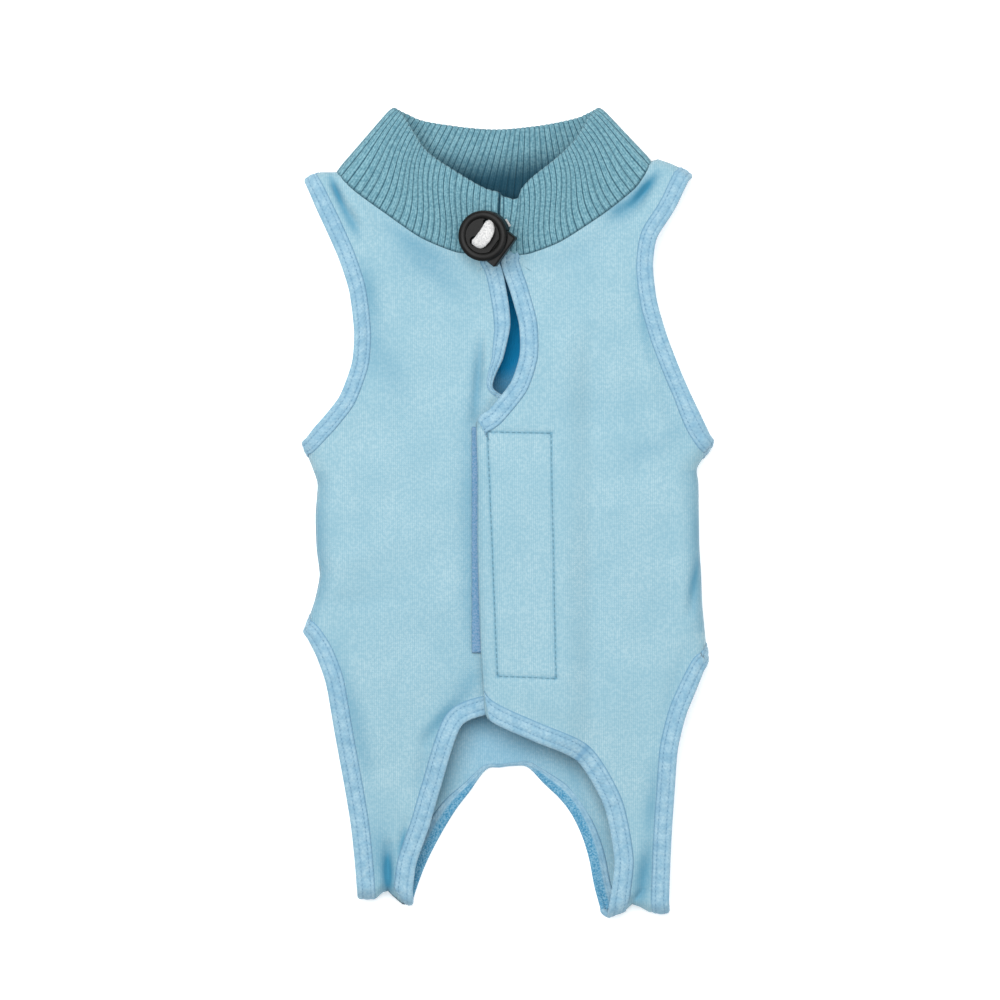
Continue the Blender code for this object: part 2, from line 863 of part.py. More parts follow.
def outlineSolid(name, outline, height, material, collection):
    """Flat outline given a thickness, centred on its own plane."""
    curve = bpy.data.curves.new(name, "CURVE")
    curve.dimensions = "2D"
    curve.fill_mode = "BOTH"
    curve.extrude = height / 2
    spline = curve.splines.new("POLY")
    spline.points.add(len(outline) - 1)
    for point, (x, y) in zip(spline.points, outline):
        point.co = (x, y, 0, 1)
    spline.use_cyclic_u = True
    return meshFromCurve(name, curve, material, collection)


def plungerOutline(centre, radius, halfWide, back):
    """Tongue with a round front, its arc about a centre on the push axis."""
    arc = math.asin(halfWide / radius)
    outline = [(back, -halfWide)]
    for index in range(arcSides + 1):
        angle = -arc + 2 * arc * index / arcSides
        outline.append((centre + radius * math.cos(angle), radius * math.sin(angle)))
    outline.append((back, halfWide))
    return outline


def cutAway(target, cutter):
    cutter.hide_render = True
    cutter.display_type = "WIRE"
    cut = target.modifiers.new("Cut", "BOOLEAN")
    cut.operation = "DIFFERENCE"
    cut.solver = "EXACT"
    cut.object = cutter


def slottedOutline(length, radius):
    """Long hole's outline along the push axis, both ends round."""
    outline = []
    for index in range(arcSides + 1):
        angle = -math.pi / 2 + math.pi * index / arcSides
        outline.append((radius * math.cos(angle), radius * math.sin(angle)))
    for index in range(arcSides + 1):
        angle = math.pi / 2 + math.pi * index / arcSides
        outline.append((-length + radius * math.cos(angle), radius * math.sin(angle)))
    return outline


def lockMatrix():
    """Place of the cord lock: its own X is the push axis, its own Z its thickness."""
    x = placeX(lockPlace[0])
    y = placeY(lockPlace[1])
    cloth = surfacePoint(x, y, 1).z + collarWall / 2
    lean = Matrix.Rotation(-lockTilt, 4, "Y")
    turn = Matrix.Rotation(lockTurn, 4, "Z")
    height = cloth + lockClear + lockThickness / 2
    return Matrix.Translation((x, y, height)) @ lean @ turn


def makeLock(plastic, white, parts, cutters):
    """Two-hole cord lock: round housing, sliding plunger and the cord through both holes."""
    place = lockMatrix()
    radius = lockDiameter / 2
    holder = bpy.data.objects.new("cord_lock_place", None)
    parts.objects.link(holder)
    holder.matrix_world = place

    bpy.ops.mesh.primitive_cylinder_add(vertices=lockSides, radius=radius, depth=lockThickness)
    housing = bpy.context.object
    housing.name = "cord_lock_housing"
    housing.data.materials.append(plastic)
    moveTo(housing, parts)
    rounding = housing.modifiers.new("Rounded rim", "BEVEL")
    rounding.width = lockEdge
    rounding.segments = 2
    rounding.limit_method = "ANGLE"
    rounding.angle_limit = bevelAngle

    bpy.ops.mesh.primitive_cube_add(size=1, location=(-radius - lockFlat, 0, 0))
    flatCut = bpy.context.object
    flatCut.name = "cut_flat_side"
    flatCut.scale = (2 * radius, 3 * radius, 2 * lockThickness)
    moveTo(flatCut, cutters)
    slot = outlineSolid("cut_slot", plungerOutline(0, radius - lockWall,
                        plungerWidth / 2 + plungerClear, -2 * radius),
                        plungerHeight + 2 * plungerClear, plastic, cutters)
    cuts = [flatCut, slot]
    for sign in (1, -1):
        aside = holeAside + sign * holeSpread / 2
        bpy.ops.mesh.primitive_cylinder_add(vertices=holeSides, radius=cordHole / 2,
                                            depth=2 * lockThickness,
                                            location=(holeForward, aside, 0))
        hole = bpy.context.object
        hole.name = "cut_hole_upper" if sign > 0 else "cut_hole_lower"
        moveTo(hole, cutters)
        cuts.append(hole)
    for cutter in cuts:
        cutter.matrix_world = place @ cutter.matrix_basis
        cutAway(housing, cutter)
    housing.parent = holder

    front = radius - lockWall - plungerClear
    plunger = outlineSolid("cord_lock_plunger",
                           plungerOutline(-plungerTravel, front, plungerWidth / 2, -plungerReach),
                           plungerHeight, plastic, parts)
    edges = plunger.modifiers.new("Soft edges", "BEVEL")
    edges.width = plungerEdge
    edges.segments = 1
    edges.limit_method = "ANGLE"
    edges.angle_limit = bevelAngle
    for sign in (1, -1):
        aside = holeAside + sign * holeSpread / 2
        name = "cut_way_upper" if sign > 0 else "cut_way_lower"
        way = outlineSolid(name, slottedOutline(plungerTravel, cordHole / 2),
                           2 * lockThickness, plastic, cutters)
        way.matrix_world = place @ Matrix.Translation((holeForward, aside, 0))
        cutAway(plunger, way)
    plunger.parent = holder
    for piece in (housing, plunger):
        piece.data.shade_smooth()
        piece.data.set_sharp_from_angle(angle=smoothAngle)
    makeCord(place, white, parts)


def moveTo(thing, collection):
    for holder in list(thing.users_collection):
        holder.objects.unlink(thing)
    collection.objects.link(thing)


def makeCord(place, white, parts):
    """Elastic cord from the collar's front through one hole, over the face and down again."""
    half = lockThickness / 2
    radius = cordDiameter / 2
    upper = holeAside + holeSpread / 2
    lower = holeAside - holeSpread / 2
    startX = placeX(cordStart[0])
    startY = placeY(cordStart[1])
    cloth = surfacePoint(startX, startY, 1).z + collarWall / 2 + seamGap + radius
    start = Vector((startX, startY, cloth))
    below = -half - cordDiameter * cordUnder
    under = place @ Vector((holeForward, upper, below))
    route = [start, start.lerp(under, 0.5)]
    for height in (below, -half * cordInside, half * cordInside):
        route.append(place @ Vector((holeForward, upper, height)))
    for index in range(cordTurns + 1):
        angle = math.pi * index / cordTurns
        aside = holeAside + holeSpread / 2 * math.cos(angle)
        rise = half + cordLoopHeight * math.sin(angle)
        route.append(place @ Vector((holeForward - cordLoopBow * math.sin(angle), aside, rise)))
    for height in (half * cordInside, -half * cordInside, -half - cordDiameter * cordEnd):
        route.append(place @ Vector((holeForward, lower, height)))
    curve = bpy.data.curves.new("drawcord", "CURVE")
    curve.dimensions = "3D"
    curve.bevel_depth = radius
    curve.bevel_resolution = 2
    curve.use_fill_caps = True
    spline = curve.splines.new("POLY")
    spline.points.add(len(route) - 1)
    for point, spot in zip(spline.points, route):
        point.co = (*spot, 1)
    return meshFromCurve("drawcord", curve, white, parts)


def centreOnFloor(parts):
    """Move the whole suit so that its box is centred over the origin and rests at zero."""
    bpy.context.view_layer.update()
    graph = bpy.context.evaluated_depsgraph_get()
    corners = []
    for piece in parts.objects:
        if piece.type == "MESH":
            solid = piece.evaluated_get(graph).to_mesh()
            corners.extend(piece.matrix_world @ vertex.co for vertex in solid.vertices)
            piece.evaluated_get(graph).to_mesh_clear()
    low = [min(corner[axis] for corner in corners) for axis in range(3)]
    high = [max(corner[axis] for corner in corners) for axis in range(3)]
    shift = Matrix.Translation((-(low[0] + high[0]) / 2, -(low[1] + high[1]) / 2, -low[2]))
    for thing in bpy.data.objects:
        if thing.parent is None:
            thing.matrix_world = shift @ thing.matrix_world


def build():
    for thing in list(bpy.data.objects):
        bpy.data.objects.remove(thing, do_unlink=True)
    parts = makeCollection(partName)
    cutters = makeCollection("cutters")
    jersey = makeMaterial("jersey", (0.33, 0.64, 0.75), 0.9)
    bindingCloth = makeMaterial("binding", (0.36, 0.62, 0.78), 0.9)
    ribKnit = makeMaterial("rib_knit", (0.18, 0.42, 0.52), 0.95)
    tapeCloth = makeMaterial("tape", (0.45, 0.55, 0.80), 0.95)
    blackPlastic = makeMaterial("black_plastic", (0.02, 0.02, 0.022), 0.4)
    cordWhite = makeMaterial("white_cord", (0.85, 0.85, 0.85), 0.8)

    paths = {}
    for side, column, sign in (("left", 0, 1), ("right", 2, -1)):
        paths[side + "_arm"] = EdgePath(frontBackLoop(stepsBetween(0, armTip), column), True, sign)
        paths[side + "_leg"] = EdgePath(frontBackLoop(stepsBetween(legTip, legEnd), column),
                                        True, sign)
    paths["keyhole_left"] = keyholeLoop(4, underlapTop, -1, False)
    paths["keyhole_right"] = keyholeLoop(6, flapTop, 1, True)
    paths["crotch"] = crotchLoop()

    reach = bindingWidth + seamGap
    crotch = paths["crotch"]
    crotchCount = len(stepsBetween(flapBottom, legEnd))
    leftCrotch = [flat(crotch.offset(index, reach)) for index in range(crotchCount)]
    last = len(crotch.points) - 1
    rightCrotch = [flat(crotch.offset(last - index, reach)) for index in range(crotchCount)]

    leftEdge = outerClothEdge(0, paths["left_arm"], paths["left_leg"])
    rightEdge = outerClothEdge(2, paths["right_arm"], paths["right_leg"])
    leftInner = innerClothEdge(4, paths["keyhole_left"], underlapTop, leftCrotch)
    rightInner = innerClothEdge(6, paths["keyhole_right"], flapTop, rightCrotch)

    backPanel(leftEdge, rightEdge, crotch, jersey, parts)
    frontPanel("front_left_panel", leftEdge, leftInner, False, jersey, parts)
    frontPanel("front_right_panel", rightEdge, rightInner, True, jersey, parts)
    makeBinding("left_armhole_binding", paths["left_arm"], bindingCloth, parts)
    makeBinding("right_armhole_binding", paths["right_arm"], bindingCloth, parts)
    makeBinding("left_leg_binding", paths["left_leg"], bindingCloth, parts)
    makeBinding("right_leg_binding", paths["right_leg"], bindingCloth, parts)
    makeBinding("keyhole_left_binding", paths["keyhole_left"], bindingCloth, parts)
    makeBinding("keyhole_right_binding", paths["keyhole_right"], bindingCloth, parts)
    makeBinding("crotch_binding", crotch, bindingCloth, parts)
    tapeRise = clothThickness / 2 + seamGap + tapeThickness / 2
    makeTape("loop_tape", loopTapeArea, tapeRise, False, tapeCloth, parts)
    makeTape("hook_tape", hookTapeArea, -tapeRise, True, tapeCloth, parts)
    makeCollar(ribKnit, parts)
    makeLock(blackPlastic, cordWhite, parts, cutters)
    centreOnFloor(parts)


build()
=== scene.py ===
import math

import bpy
import numpy as np
from mathutils import Matrix, Vector


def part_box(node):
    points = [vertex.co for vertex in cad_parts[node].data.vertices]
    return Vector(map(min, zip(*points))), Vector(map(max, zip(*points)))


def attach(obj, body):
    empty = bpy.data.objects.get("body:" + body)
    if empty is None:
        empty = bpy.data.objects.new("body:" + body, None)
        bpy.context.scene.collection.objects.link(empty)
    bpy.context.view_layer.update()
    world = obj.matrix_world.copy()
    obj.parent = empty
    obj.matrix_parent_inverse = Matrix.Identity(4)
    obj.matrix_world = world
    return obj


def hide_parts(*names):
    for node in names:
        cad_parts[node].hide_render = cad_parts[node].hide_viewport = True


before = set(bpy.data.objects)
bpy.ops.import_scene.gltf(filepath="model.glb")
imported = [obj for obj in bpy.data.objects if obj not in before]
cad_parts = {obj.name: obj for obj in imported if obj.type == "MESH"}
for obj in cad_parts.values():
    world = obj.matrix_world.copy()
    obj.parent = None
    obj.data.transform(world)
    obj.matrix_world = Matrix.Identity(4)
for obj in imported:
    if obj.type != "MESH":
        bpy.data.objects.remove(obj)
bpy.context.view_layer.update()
print("frame loaded")

# sizes of the lying suit, the same as in the CAD source
suit = {
    "length": 0.340,
    "halfWidth": 0.0855,
    "puff": 0.0140,
    "sideRound": 0.0090,
    "endRound": 0.0050,
    "cloth": 0.0012,
    "tape": 0.0008,
    "gap": 0.0003,
    "grid": 0.00085,
    "backGrid": 0.00115,
    "edgeStep": 0.0008,
    "leanReach": 0.012,
    "tuck": 0.0009,
    "backLift": 0.0007,
    "shiftAlong": 0.00048,
}

# left outer, right outer, left front inner, right front inner: share of half width, share of length
outline = {
    "rows": [
        (-0.998, 0.907, 0.900, 0.910, -0.835, 0.916, 0.698, 0.928),
        (-0.929, 0.867, 0.811, 0.869, -0.742, 0.895, 0.619, 0.900),
        (-0.835, 0.814, 0.732, 0.837, -0.604, 0.870, 0.467, 0.869),
        (-0.781, 0.772, 0.713, 0.802, -0.432, 0.840, 0.260, 0.835),
        (-0.757, 0.723, 0.732, 0.760, -0.260, 0.822, 0.108, 0.820),
        (-0.767, 0.684, 0.781, 0.717, -0.056, 0.812, -0.034, 0.812),
        (-0.826, 0.643, 0.845, 0.675, -0.004, 0.768, 0.014, 0.768),
        (-0.904, 0.617, 0.904, 0.641, 0.012, 0.730, 0.054, 0.730),
        (-0.948, 0.604, 0.948, 0.617, -0.022, 0.690, 0.057, 0.693),
        (-0.985, 0.591, 0.985, 0.596, -0.072, 0.652, 0.013, 0.659),
        (-1.000, 0.584, 1.000, 0.585, 0.100, 0.628, -0.088, 0.627),
        (-0.953, 0.553, 0.924, 0.554, 0.236, 0.610, -0.150, 0.612),
        (-0.929, 0.533, 0.929, 0.533, 0.236, 0.564, -0.147, 0.551),
        (-0.939, 0.495, 0.931, 0.495, 0.236, 0.501, -0.147, 0.495),
        (-0.934, 0.454, 0.934, 0.454, 0.236, 0.454, -0.147, 0.454),
        (-0.919, 0.421, 0.943, 0.421, 0.236, 0.415, -0.143, 0.415),
        (-0.943, 0.390, 0.948, 0.384, 0.236, 0.378, -0.138, 0.378),
        (-0.993, 0.351, 0.973, 0.315, 0.236, 0.341, -0.133, 0.341),
        (-0.978, 0.341, 0.958, 0.302, 0.236, 0.314, -0.128, 0.314),
        (-0.939, 0.320, 0.921, 0.277, 0.236, 0.281, -0.118, 0.279),
        (-0.894, 0.286, 0.875, 0.247, -0.015, 0.254, -0.093, 0.242),
        (-0.850, 0.223, 0.835, 0.205, -0.226, 0.235, 0.120, 0.216),
        (-0.801, 0.156, 0.818, 0.149, -0.333, 0.156, 0.339, 0.191),
        (-0.771, 0.109, 0.806, 0.106, -0.388, 0.109, 0.472, 0.135),
        (-0.752, 0.063, 0.796, 0.052, -0.451, 0.063, 0.523, 0.067),
        (-0.740, 0.021, 0.791, 0.007, -0.472, 0.021, 0.490, 0.007),
    ],
    "tension": 0.35,
    "armTip": 10,
    "legTip": 17,
    "legEnd": 25,
    "neckEnd": 5,
    "underlapTop": 9.5,
    "flapTop": 11,
    "flapBottom": 19,
    "flapCorner": 20,
    "archEnd": 22,
    "puff": [(0.00, 0.36), (0.12, 0.36), (0.30, 0.45), (0.50, 0.50), (0.70, 0.48), (0.86, 0.44), (1.00, 0.42)],
    "shoulder": [(-0.998, 0.907), (-0.968, 0.912), (-0.921, 0.917), (-0.835, 0.917), (0.698, 0.930),
                 (0.737, 0.933), (0.796, 0.928), (0.848, 0.922), (0.889, 0.915), (0.902, 0.910)],
    "legEnds": [(-0.740, 0.024), (-0.649, 0.023), (-0.617, 0.031), (-0.590, 0.034), (-0.560, 0.027),
                (-0.516, 0.019), (-0.482, 0.015), (-0.467, 0.018), (0.457, 0.007), (0.491, 0.000),
                (0.565, 0.006), (0.609, 0.016), (0.654, 0.012), (0.695, 0.006), (0.774, 0.005), (0.791, 0.009)],
    "arch": [(-0.467, 0.020), (-0.432, 0.046), (-0.393, 0.070), (-0.329, 0.101), (-0.256, 0.131),
             (-0.192, 0.152), (-0.108, 0.180), (-0.037, 0.183), (0.036, 0.185), (0.098, 0.183),
             (0.177, 0.163), (0.256, 0.144), (0.315, 0.124), (0.364, 0.098), (0.398, 0.070),
             (0.425, 0.035), (0.457, 0.007)],
    "backNeckDip": 0.044,
}

# the lap of the right front over the left one
lap = {
    "rise": 0.0037,
    "side": (0.27, 0.16),
    "top": (0.69, 0.07),
    "bottom": (0.165, 0.06),
    "edgeDrop": 0.0012,
    "edgeReach": 0.0032,
}

# soft folds of the front: start, end in shares, width as a share of half width, depth in mm
folds = {
    "rows": [
        (-0.870, 0.909, -0.816, 0.880, 0.025, -1.6),
        (-0.816, 0.880, -0.737, 0.852, 0.029, -1.1),
        (-0.796, 0.899, -0.658, 0.837, 0.044, 0.9),
        (-0.521, 0.835, -0.246, 0.775, 0.128, -0.8),
        (-0.663, 0.765, -0.683, 0.672, 0.064, -1.2),
        (0.708, 0.906, 0.629, 0.879, 0.029, -1.8),
        (0.629, 0.879, 0.511, 0.857, 0.044, -1.4),
        (0.757, 0.884, 0.658, 0.822, 0.059, 0.5),
        (0.929, 0.437, 0.894, 0.374, 0.025, -1.5),
        (-0.590, 0.028, -0.590, 0.086, 0.029, -1.8),
        (-0.501, 0.116, -0.536, 0.081, 0.020, -0.7),
        (0.654, 0.015, 0.698, 0.079, 0.044, -1.5),
        (0.604, 0.016, 0.663, 0.031, 0.020, -1.0),
        (-0.432, 0.151, -0.398, 0.215, 0.039, -0.9),
        (-0.398, 0.215, -0.206, 0.268, 0.039, -1.0),
        (-0.098, 0.723, -0.098, 0.642, 0.025, 0.9),
        (-0.128, 0.714, -0.167, 0.612, 0.025, -1.2),
        (-0.206, 0.588, -0.172, 0.291, 0.049, -0.6),
        (0.894, 0.622, 0.958, 0.573, 0.020, -0.6),
        (0.875, 0.585, 0.747, 0.640, 0.039, -0.4),
        (-0.885, 0.432, -0.609, 0.459, 0.079, 0.5),
        (-0.914, 0.385, -0.570, 0.395, 0.059, -0.4),
        (-0.432, 0.637, -0.511, 0.341, 0.197, 0.5),
        (0.452, 0.551, 0.649, 0.341, 0.167, 0.5),
        (0.256, 0.807, 0.501, 0.840, 0.049, -0.5),
        (0.197, 0.760, 0.452, 0.723, 0.108, 0.4),
        (0.747, 0.711, 0.786, 0.625, 0.049, -0.5),
        (-0.767, 0.267, -0.668, 0.143, 0.049, -0.5),
        (0.894, 0.341, 0.747, 0.217, 0.044, -0.5),
        (0.256, 0.637, 0.649, 0.625, 0.108, -0.35),
        (0.059, 0.267, 0.452, 0.242, 0.069, 0.35),
    ],
    "scale": 1.35,
    "waves": [(0.062, 0.34), (0.028, 0.14), (0.012, 0.045)],
}

# painted shade of the cloth in its folds, creases and hollows and under the bands: start, end in shares, width as a
# share of half width, strength
shadeRows = {
    "front": [
        (-0.187, 0.637, -0.187, 0.341, 0.045, 0.24),
        (-0.152, 0.705, -0.168, 0.610, 0.034, 0.28),
        (-0.872, 0.912, -0.800, 0.869, 0.017, 0.60),
        (-0.800, 0.869, -0.737, 0.840, 0.025, 0.50),
        (-0.710, 0.805, -0.680, 0.750, 0.045, 0.40),
        (-0.620, 0.700, -0.520, 0.640, 0.070, 0.22),
        (-0.604, 0.853, -0.285, 0.805, 0.035, 0.28),
        (-0.520, 0.826, -0.265, 0.776, 0.045, 0.22),
        (0.735, 0.917, 0.600, 0.881, 0.026, 0.85),
        (0.600, 0.881, 0.500, 0.868, 0.035, 0.50),
        (0.640, 0.790, 0.690, 0.690, 0.028, 0.35),
        (0.934, 0.436, 0.890, 0.395, 0.018, 0.30),
        (-0.592, 0.070, -0.586, 0.026, 0.024, 0.52),
        (-0.640, 0.110, -0.600, 0.030, 0.075, 0.45),
        (-0.503, 0.106, -0.536, 0.075, 0.012, 0.60),
        (-0.860, 0.330, -0.700, 0.190, 0.050, 0.32),
        (0.722, 0.180, 0.690, 0.096, 0.036, 0.42),
        (0.680, 0.085, 0.640, 0.020, 0.040, 0.44),
        (-0.270, 0.262, -0.400, 0.226, 0.030, 0.45),
        (-0.140, 0.300, -0.270, 0.262, 0.050, 0.35),
        (-0.950, 0.500, -0.930, 0.400, 0.030, 0.25),
        (0.560, 0.560, 0.860, 0.600, 0.050, 0.18),
        (0.930, 0.500, 0.930, 0.440, 0.030, 0.20),
    ],
    "back": [
        (-0.330, 0.215, -0.330, 0.130, 0.055, 0.25),
        (-0.260, 0.235, 0.000, 0.245, 0.040, 0.25),
        (0.300, 0.190, 0.420, 0.090, 0.030, 0.20),
        (0.440, 0.100, 0.460, 0.030, 0.050, 0.30),
    ],
    # painted shade of the back's inner face, seen through the keyhole and the crotch
    "keyhole": [(-0.010, 0.780, -0.030, 0.660, 0.140, 1.50), (-0.300, 0.220, 0.320, 0.215, 0.300, 0.20)],
}

rowTable = np.array(outline["rows"])
shoulderRows = np.array(outline["shoulder"])
legRows = np.array(outline["legEnds"])
puffRows = np.array(outline["puff"])


def placeX(share):
    return np.asarray(share, float) * suit["halfWidth"]


def placeY(share):
    return (np.asarray(share, float) - 0.5) * suit["length"]


# the CAD's box is centred: the shift across is read off a tape, and the one along is a fixed value
placeShift = np.array([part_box("loop_tape")[0][0] - placeX(-0.177), suit["shiftAlong"], 0.0])


def reachAlong(points):
    return np.concatenate([[0], np.cumsum(np.linalg.norm(np.diff(points, axis=0), axis=1))])


# points of a line at the wanted places of its own measure
def pointsAt(wanted, measure, points):
    return np.stack([np.interp(wanted, measure, points[:, axis]) for axis in range(points.shape[1])], -1)


def softBetween(points, low, part, tension):
    last = len(points) - 1
    before, start, end, after = [points[np.clip(low + k, 0, last)] for k in (-1, 0, 1, 2)]
    square = part ** 2
    cube = part ** 3
    return (start * (2 * cube - 3 * square + 1) + (end - before) * tension * (cube - 2 * square + part)
            + end * (3 * square - 2 * cube) + (after - start) * tension * (cube - square))


# stations on a soft curve, at any steps between the rows
def stationCurve(steps, column):
    steps = np.asarray(steps, float)
    low = np.minimum(steps.astype(int), len(rowTable) - 2)
    places = np.stack([placeX(rowTable[:, column]), placeY(rowTable[:, column + 1])], 1)
    return softBetween(places, low, (steps - low)[:, None], outline["tension"])


# a soft line through points, evenly spaced
def softLine(points, count):
    points = np.asarray(points, float)
    reach = reachAlong(points)
    knots = np.linspace(0, reach[-1], count)
    low = np.clip(np.searchsorted(reach, knots, side="right") - 1, 0, len(points) - 2)
    part = ((knots - reach[low]) / np.maximum(reach[low + 1] - reach[low], 1e-12))[:, None]
    return softBetween(points, low, part, 0.5)


def evenly(points, spacing, extras=()):
    reach = reachAlong(points)
    knots = np.linspace(0, reach[-1], max(4, int(round(reach[-1] / spacing)) + 1))
    return pointsAt(knots, reach, points), [np.interp(knots, reach, extra) for extra in extras], knots


seamSteps = np.linspace(outline["armTip"], outline["legTip"], 300)
leftSeam = stationCurve(seamSteps, 0)[::-1]
rightSeam = stationCurve(seamSteps, 2)[::-1]


def seamX(y, side):
    seam = leftSeam if side < 0 else rightSeam
    return np.interp(y, seam[:, 1], seam[:, 0])


def shoulderY(x):
    return np.interp(x, placeX(shoulderRows[:, 0]), placeY(shoulderRows[:, 1]))


def legEndY(x):
    return np.interp(x, placeX(legRows[:, 0]), placeY(legRows[:, 1]))


def smooth(value):
    value = np.clip(value, 0, 1)
    return value * value * (3 - 2 * value)


def halfPuff(y):
    return suit["puff"] * np.interp(y / suit["length"] + 0.5, puffRows[:, 0], puffRows[:, 1])


def middle(y):
    return halfPuff(y) + suit["cloth"] / 2


def roundOver(distance, radius):
    share = np.minimum(distance / radius, 1.0)
    return share * (2 - share)


def openness(x, y):
    across = roundOver(x - seamX(y, -1), suit["sideRound"]) * roundOver(seamX(y, 1) - x, suit["sideRound"])
    along = roundOver(shoulderY(x) - y, suit["endRound"]) * roundOver(y - legEndY(x), suit["endRound"])
    return across * along


def shape(points):
    height = (points[..., 2] - middle(points[..., 1])) / halfPuff(points[..., 1])
    return height ** 2 - openness(points[..., 0], points[..., 1])


def slopeOf(points):
    step = 0.00002
    found = np.zeros_like(points)
    for axis in range(3):
        shift = np.zeros(3)
        shift[axis] = step
        found[..., axis] = (shape(points + shift) - shape(points - shift)) / (2 * step)
    return found


def unit(vectors):
    return vectors / np.maximum(np.linalg.norm(vectors, axis=-1, keepdims=True), 1e-12)


def onPuff(points):
    found = points.copy()
    for _ in range(4):
        slope = slopeOf(found)
        found -= slope * (shape(found) / np.maximum((slope ** 2).sum(-1), 1e-9))[..., None]
    return found


def plain(x, y, side):
    share = np.sqrt(np.maximum(openness(x, y), 0))
    return np.stack([x, y, middle(y) + side * halfPuff(y) * share], -1)


# rows of soft ridges or tones, each fading out round its own line
def alongRows(rows, x, y, scale=1.0):
    total = np.zeros_like(x)
    for startX, startY, endX, endY, width, value in rows:
        start = np.array([placeX(startX), placeY(startY)])
        along = np.array([placeX(endX), placeY(endY)]) - start
        part = np.clip(((x - start[0]) * along[0] + (y - start[1]) * along[1]) / (along @ along), 0, 1)
        gap = np.hypot(x - start[0] - along[0] * part, y - start[1] - along[1] * part)
        swell = np.sin(math.pi * (0.15 + 0.70 * part))
        total += value * scale * swell * np.exp(-(gap / (width * suit["halfWidth"])) ** 2)
    return total


# height that folds, soft waves and the lap add
def foldHeight(x, y):
    return alongRows(folds["rows"], x, y, folds["scale"] * 0.001)


waveRandom = np.random.default_rng(11)
waveSets = [(size, depth, waveRandom.uniform(0, 2 * math.pi, (9, 2))) for size, depth in folds["waves"]]


def waveHeight(x, y):
    height = np.zeros_like(x)
    for size, depth, rows in waveSets:
        for turn, phase in rows:
            height += depth * 0.001 / 3 * np.sin((x * math.cos(turn) + y * math.sin(turn)) * 2 * math.pi / size + phase)
    return height


def lapHeight(x, y):
    across = 1 - smooth((x / suit["halfWidth"] - lap["side"][0]) / lap["side"][1])
    share = y / suit["length"] + 0.5
    above = 1 - smooth((share - lap["top"][0]) / lap["top"][1])
    below = smooth((share - lap["bottom"][0]) / lap["bottom"][1])
    return lap["rise"] * across * above * below


# the same place with folds and lap, for a point on the plain puffed surface
def dressed(points, lapped):
    height = (points[..., 2] - middle(points[..., 1])) / halfPuff(points[..., 1])
    share = np.clip(height, 0, 1)
    x, y = points[..., 0], points[..., 1]
    rise = (foldHeight(x, y) + waveHeight(x, y)) * share
    rise = rise + np.where(lapped, lapHeight(x, y), 0) * share
    rise = rise + suit["backLift"] * np.clip(-height, 0, 1)
    found = points.copy()
    found[..., 2] += rise
    return found


# one side's free edge, from the front over the fold and along the back
def sideLoop(column, first, last):
    steps = first + (last - first) * (1 - np.cos(np.linspace(0, math.pi, 500))) / 2
    flat = warpEnds(stationCurve(steps, column), steps)
    top = plain(flat[:, 0], flat[:, 1], 1)
    low = plain(flat[:, 0], flat[:, 1], -1)[::-1]
    points = np.vstack([top, low[1:]])
    faces = np.concatenate([np.ones(len(top)), -np.ones(len(low) - 1)])
    return points, np.concatenate([steps, steps[::-1][1:]]), faces


# the fold at the shoulder and at the leg end follows its own soft line
def warpEnds(flat, steps):
    flat = flat.copy()
    steps = np.asarray(steps, float)
    straight = np.interp(flat[:, 0], placeX([-0.998, -0.835, 0.698, 0.900]), placeY([0.907, 0.916, 0.928, 0.910]))
    flat[:, 1] += (shoulderY(flat[:, 0]) - straight) * smooth(1 - steps / 0.8)
    straightLeg = np.where(flat[:, 0] < 0, placeY(0.021), placeY(0.007))
    flat[:, 1] += (legEndY(flat[:, 0]) - straightLeg) * smooth((steps - 24.1) / 0.9)
    return flat


def edgePath(points, closed, sign, widths, lapped=False, extras=(), endLean=0):
    line, more, reach = evenly(points, suit["edgeStep"], extras)
    if closed:
        line = line[:-1]
        more = [extra[:-1] for extra in more]
        ahead = np.roll(line, -2, 0)
        behind = np.roll(line, 2, 0)
    else:
        index = np.arange(len(line))
        ahead = line[np.minimum(index + 2, len(line) - 1)]
        behind = line[np.maximum(index - 2, 0)]
    tangent = unit(ahead - behind)
    normal = unit(slopeOf(onPuff(line)))
    normal = unit(normal - tangent * (normal * tangent).sum(-1, keepdims=True))
    inward = np.cross(normal, tangent) * sign
    reach = reach[:len(line)]
    # the cut end leans, so that the band ends along the flap's own edge
    lean = endLean * np.clip(1 - (reach[-1] - reach) / suit["leanReach"], 0, 1)
    return {"line": line, "closed": closed, "inward": inward + tangent * lean[:, None], "normal": normal,
            "extras": more, "width": widths(more, line), "lapped": lapped, "reach": reach}


def offsetPoints(path, distance):
    points = path["line"].copy()
    steps = 6
    move = (distance if np.ndim(distance) else np.full(len(points), distance))[:, None] / steps
    for _ in range(steps):
        points = onPuff(points + path["inward"] * move)
    return points


# meshes start from a grid primitive, whose points are then laid in place row by row
def gridMesh(name, places, uvScale=None):
    rows, columns = places.shape[:2]
    bpy.ops.object.select_all(action="DESELECT")
    bpy.ops.mesh.primitive_grid_add(x_subdivisions=columns - 1, y_subdivisions=rows - 1, size=0.1)
    piece = bpy.context.object
    piece.name = name
    piece.data.name = name
    piece.data.vertices.foreach_set("co", (places.reshape(-1, 3) + placeShift).ravel())
    if uvScale:
        layer = piece.data.uv_layers.active.data
        values = np.zeros(len(layer) * 2)
        layer.foreach_get("uv", values)
        layer.foreach_set("uv", (values.reshape(-1, 2) * uvScale).ravel())
    piece.data.update()
    return piece


def addValues(piece, name, values):
    layer = piece.data.attributes.new(name, "FLOAT", "POINT")
    layer.data.foreach_set("value", np.asarray(values, float).ravel())


def selectOnly(pieces):
    bpy.ops.object.select_all(action="DESELECT")
    for piece in pieces:
        piece.select_set(True)
    bpy.context.view_layer.objects.active = pieces[0]


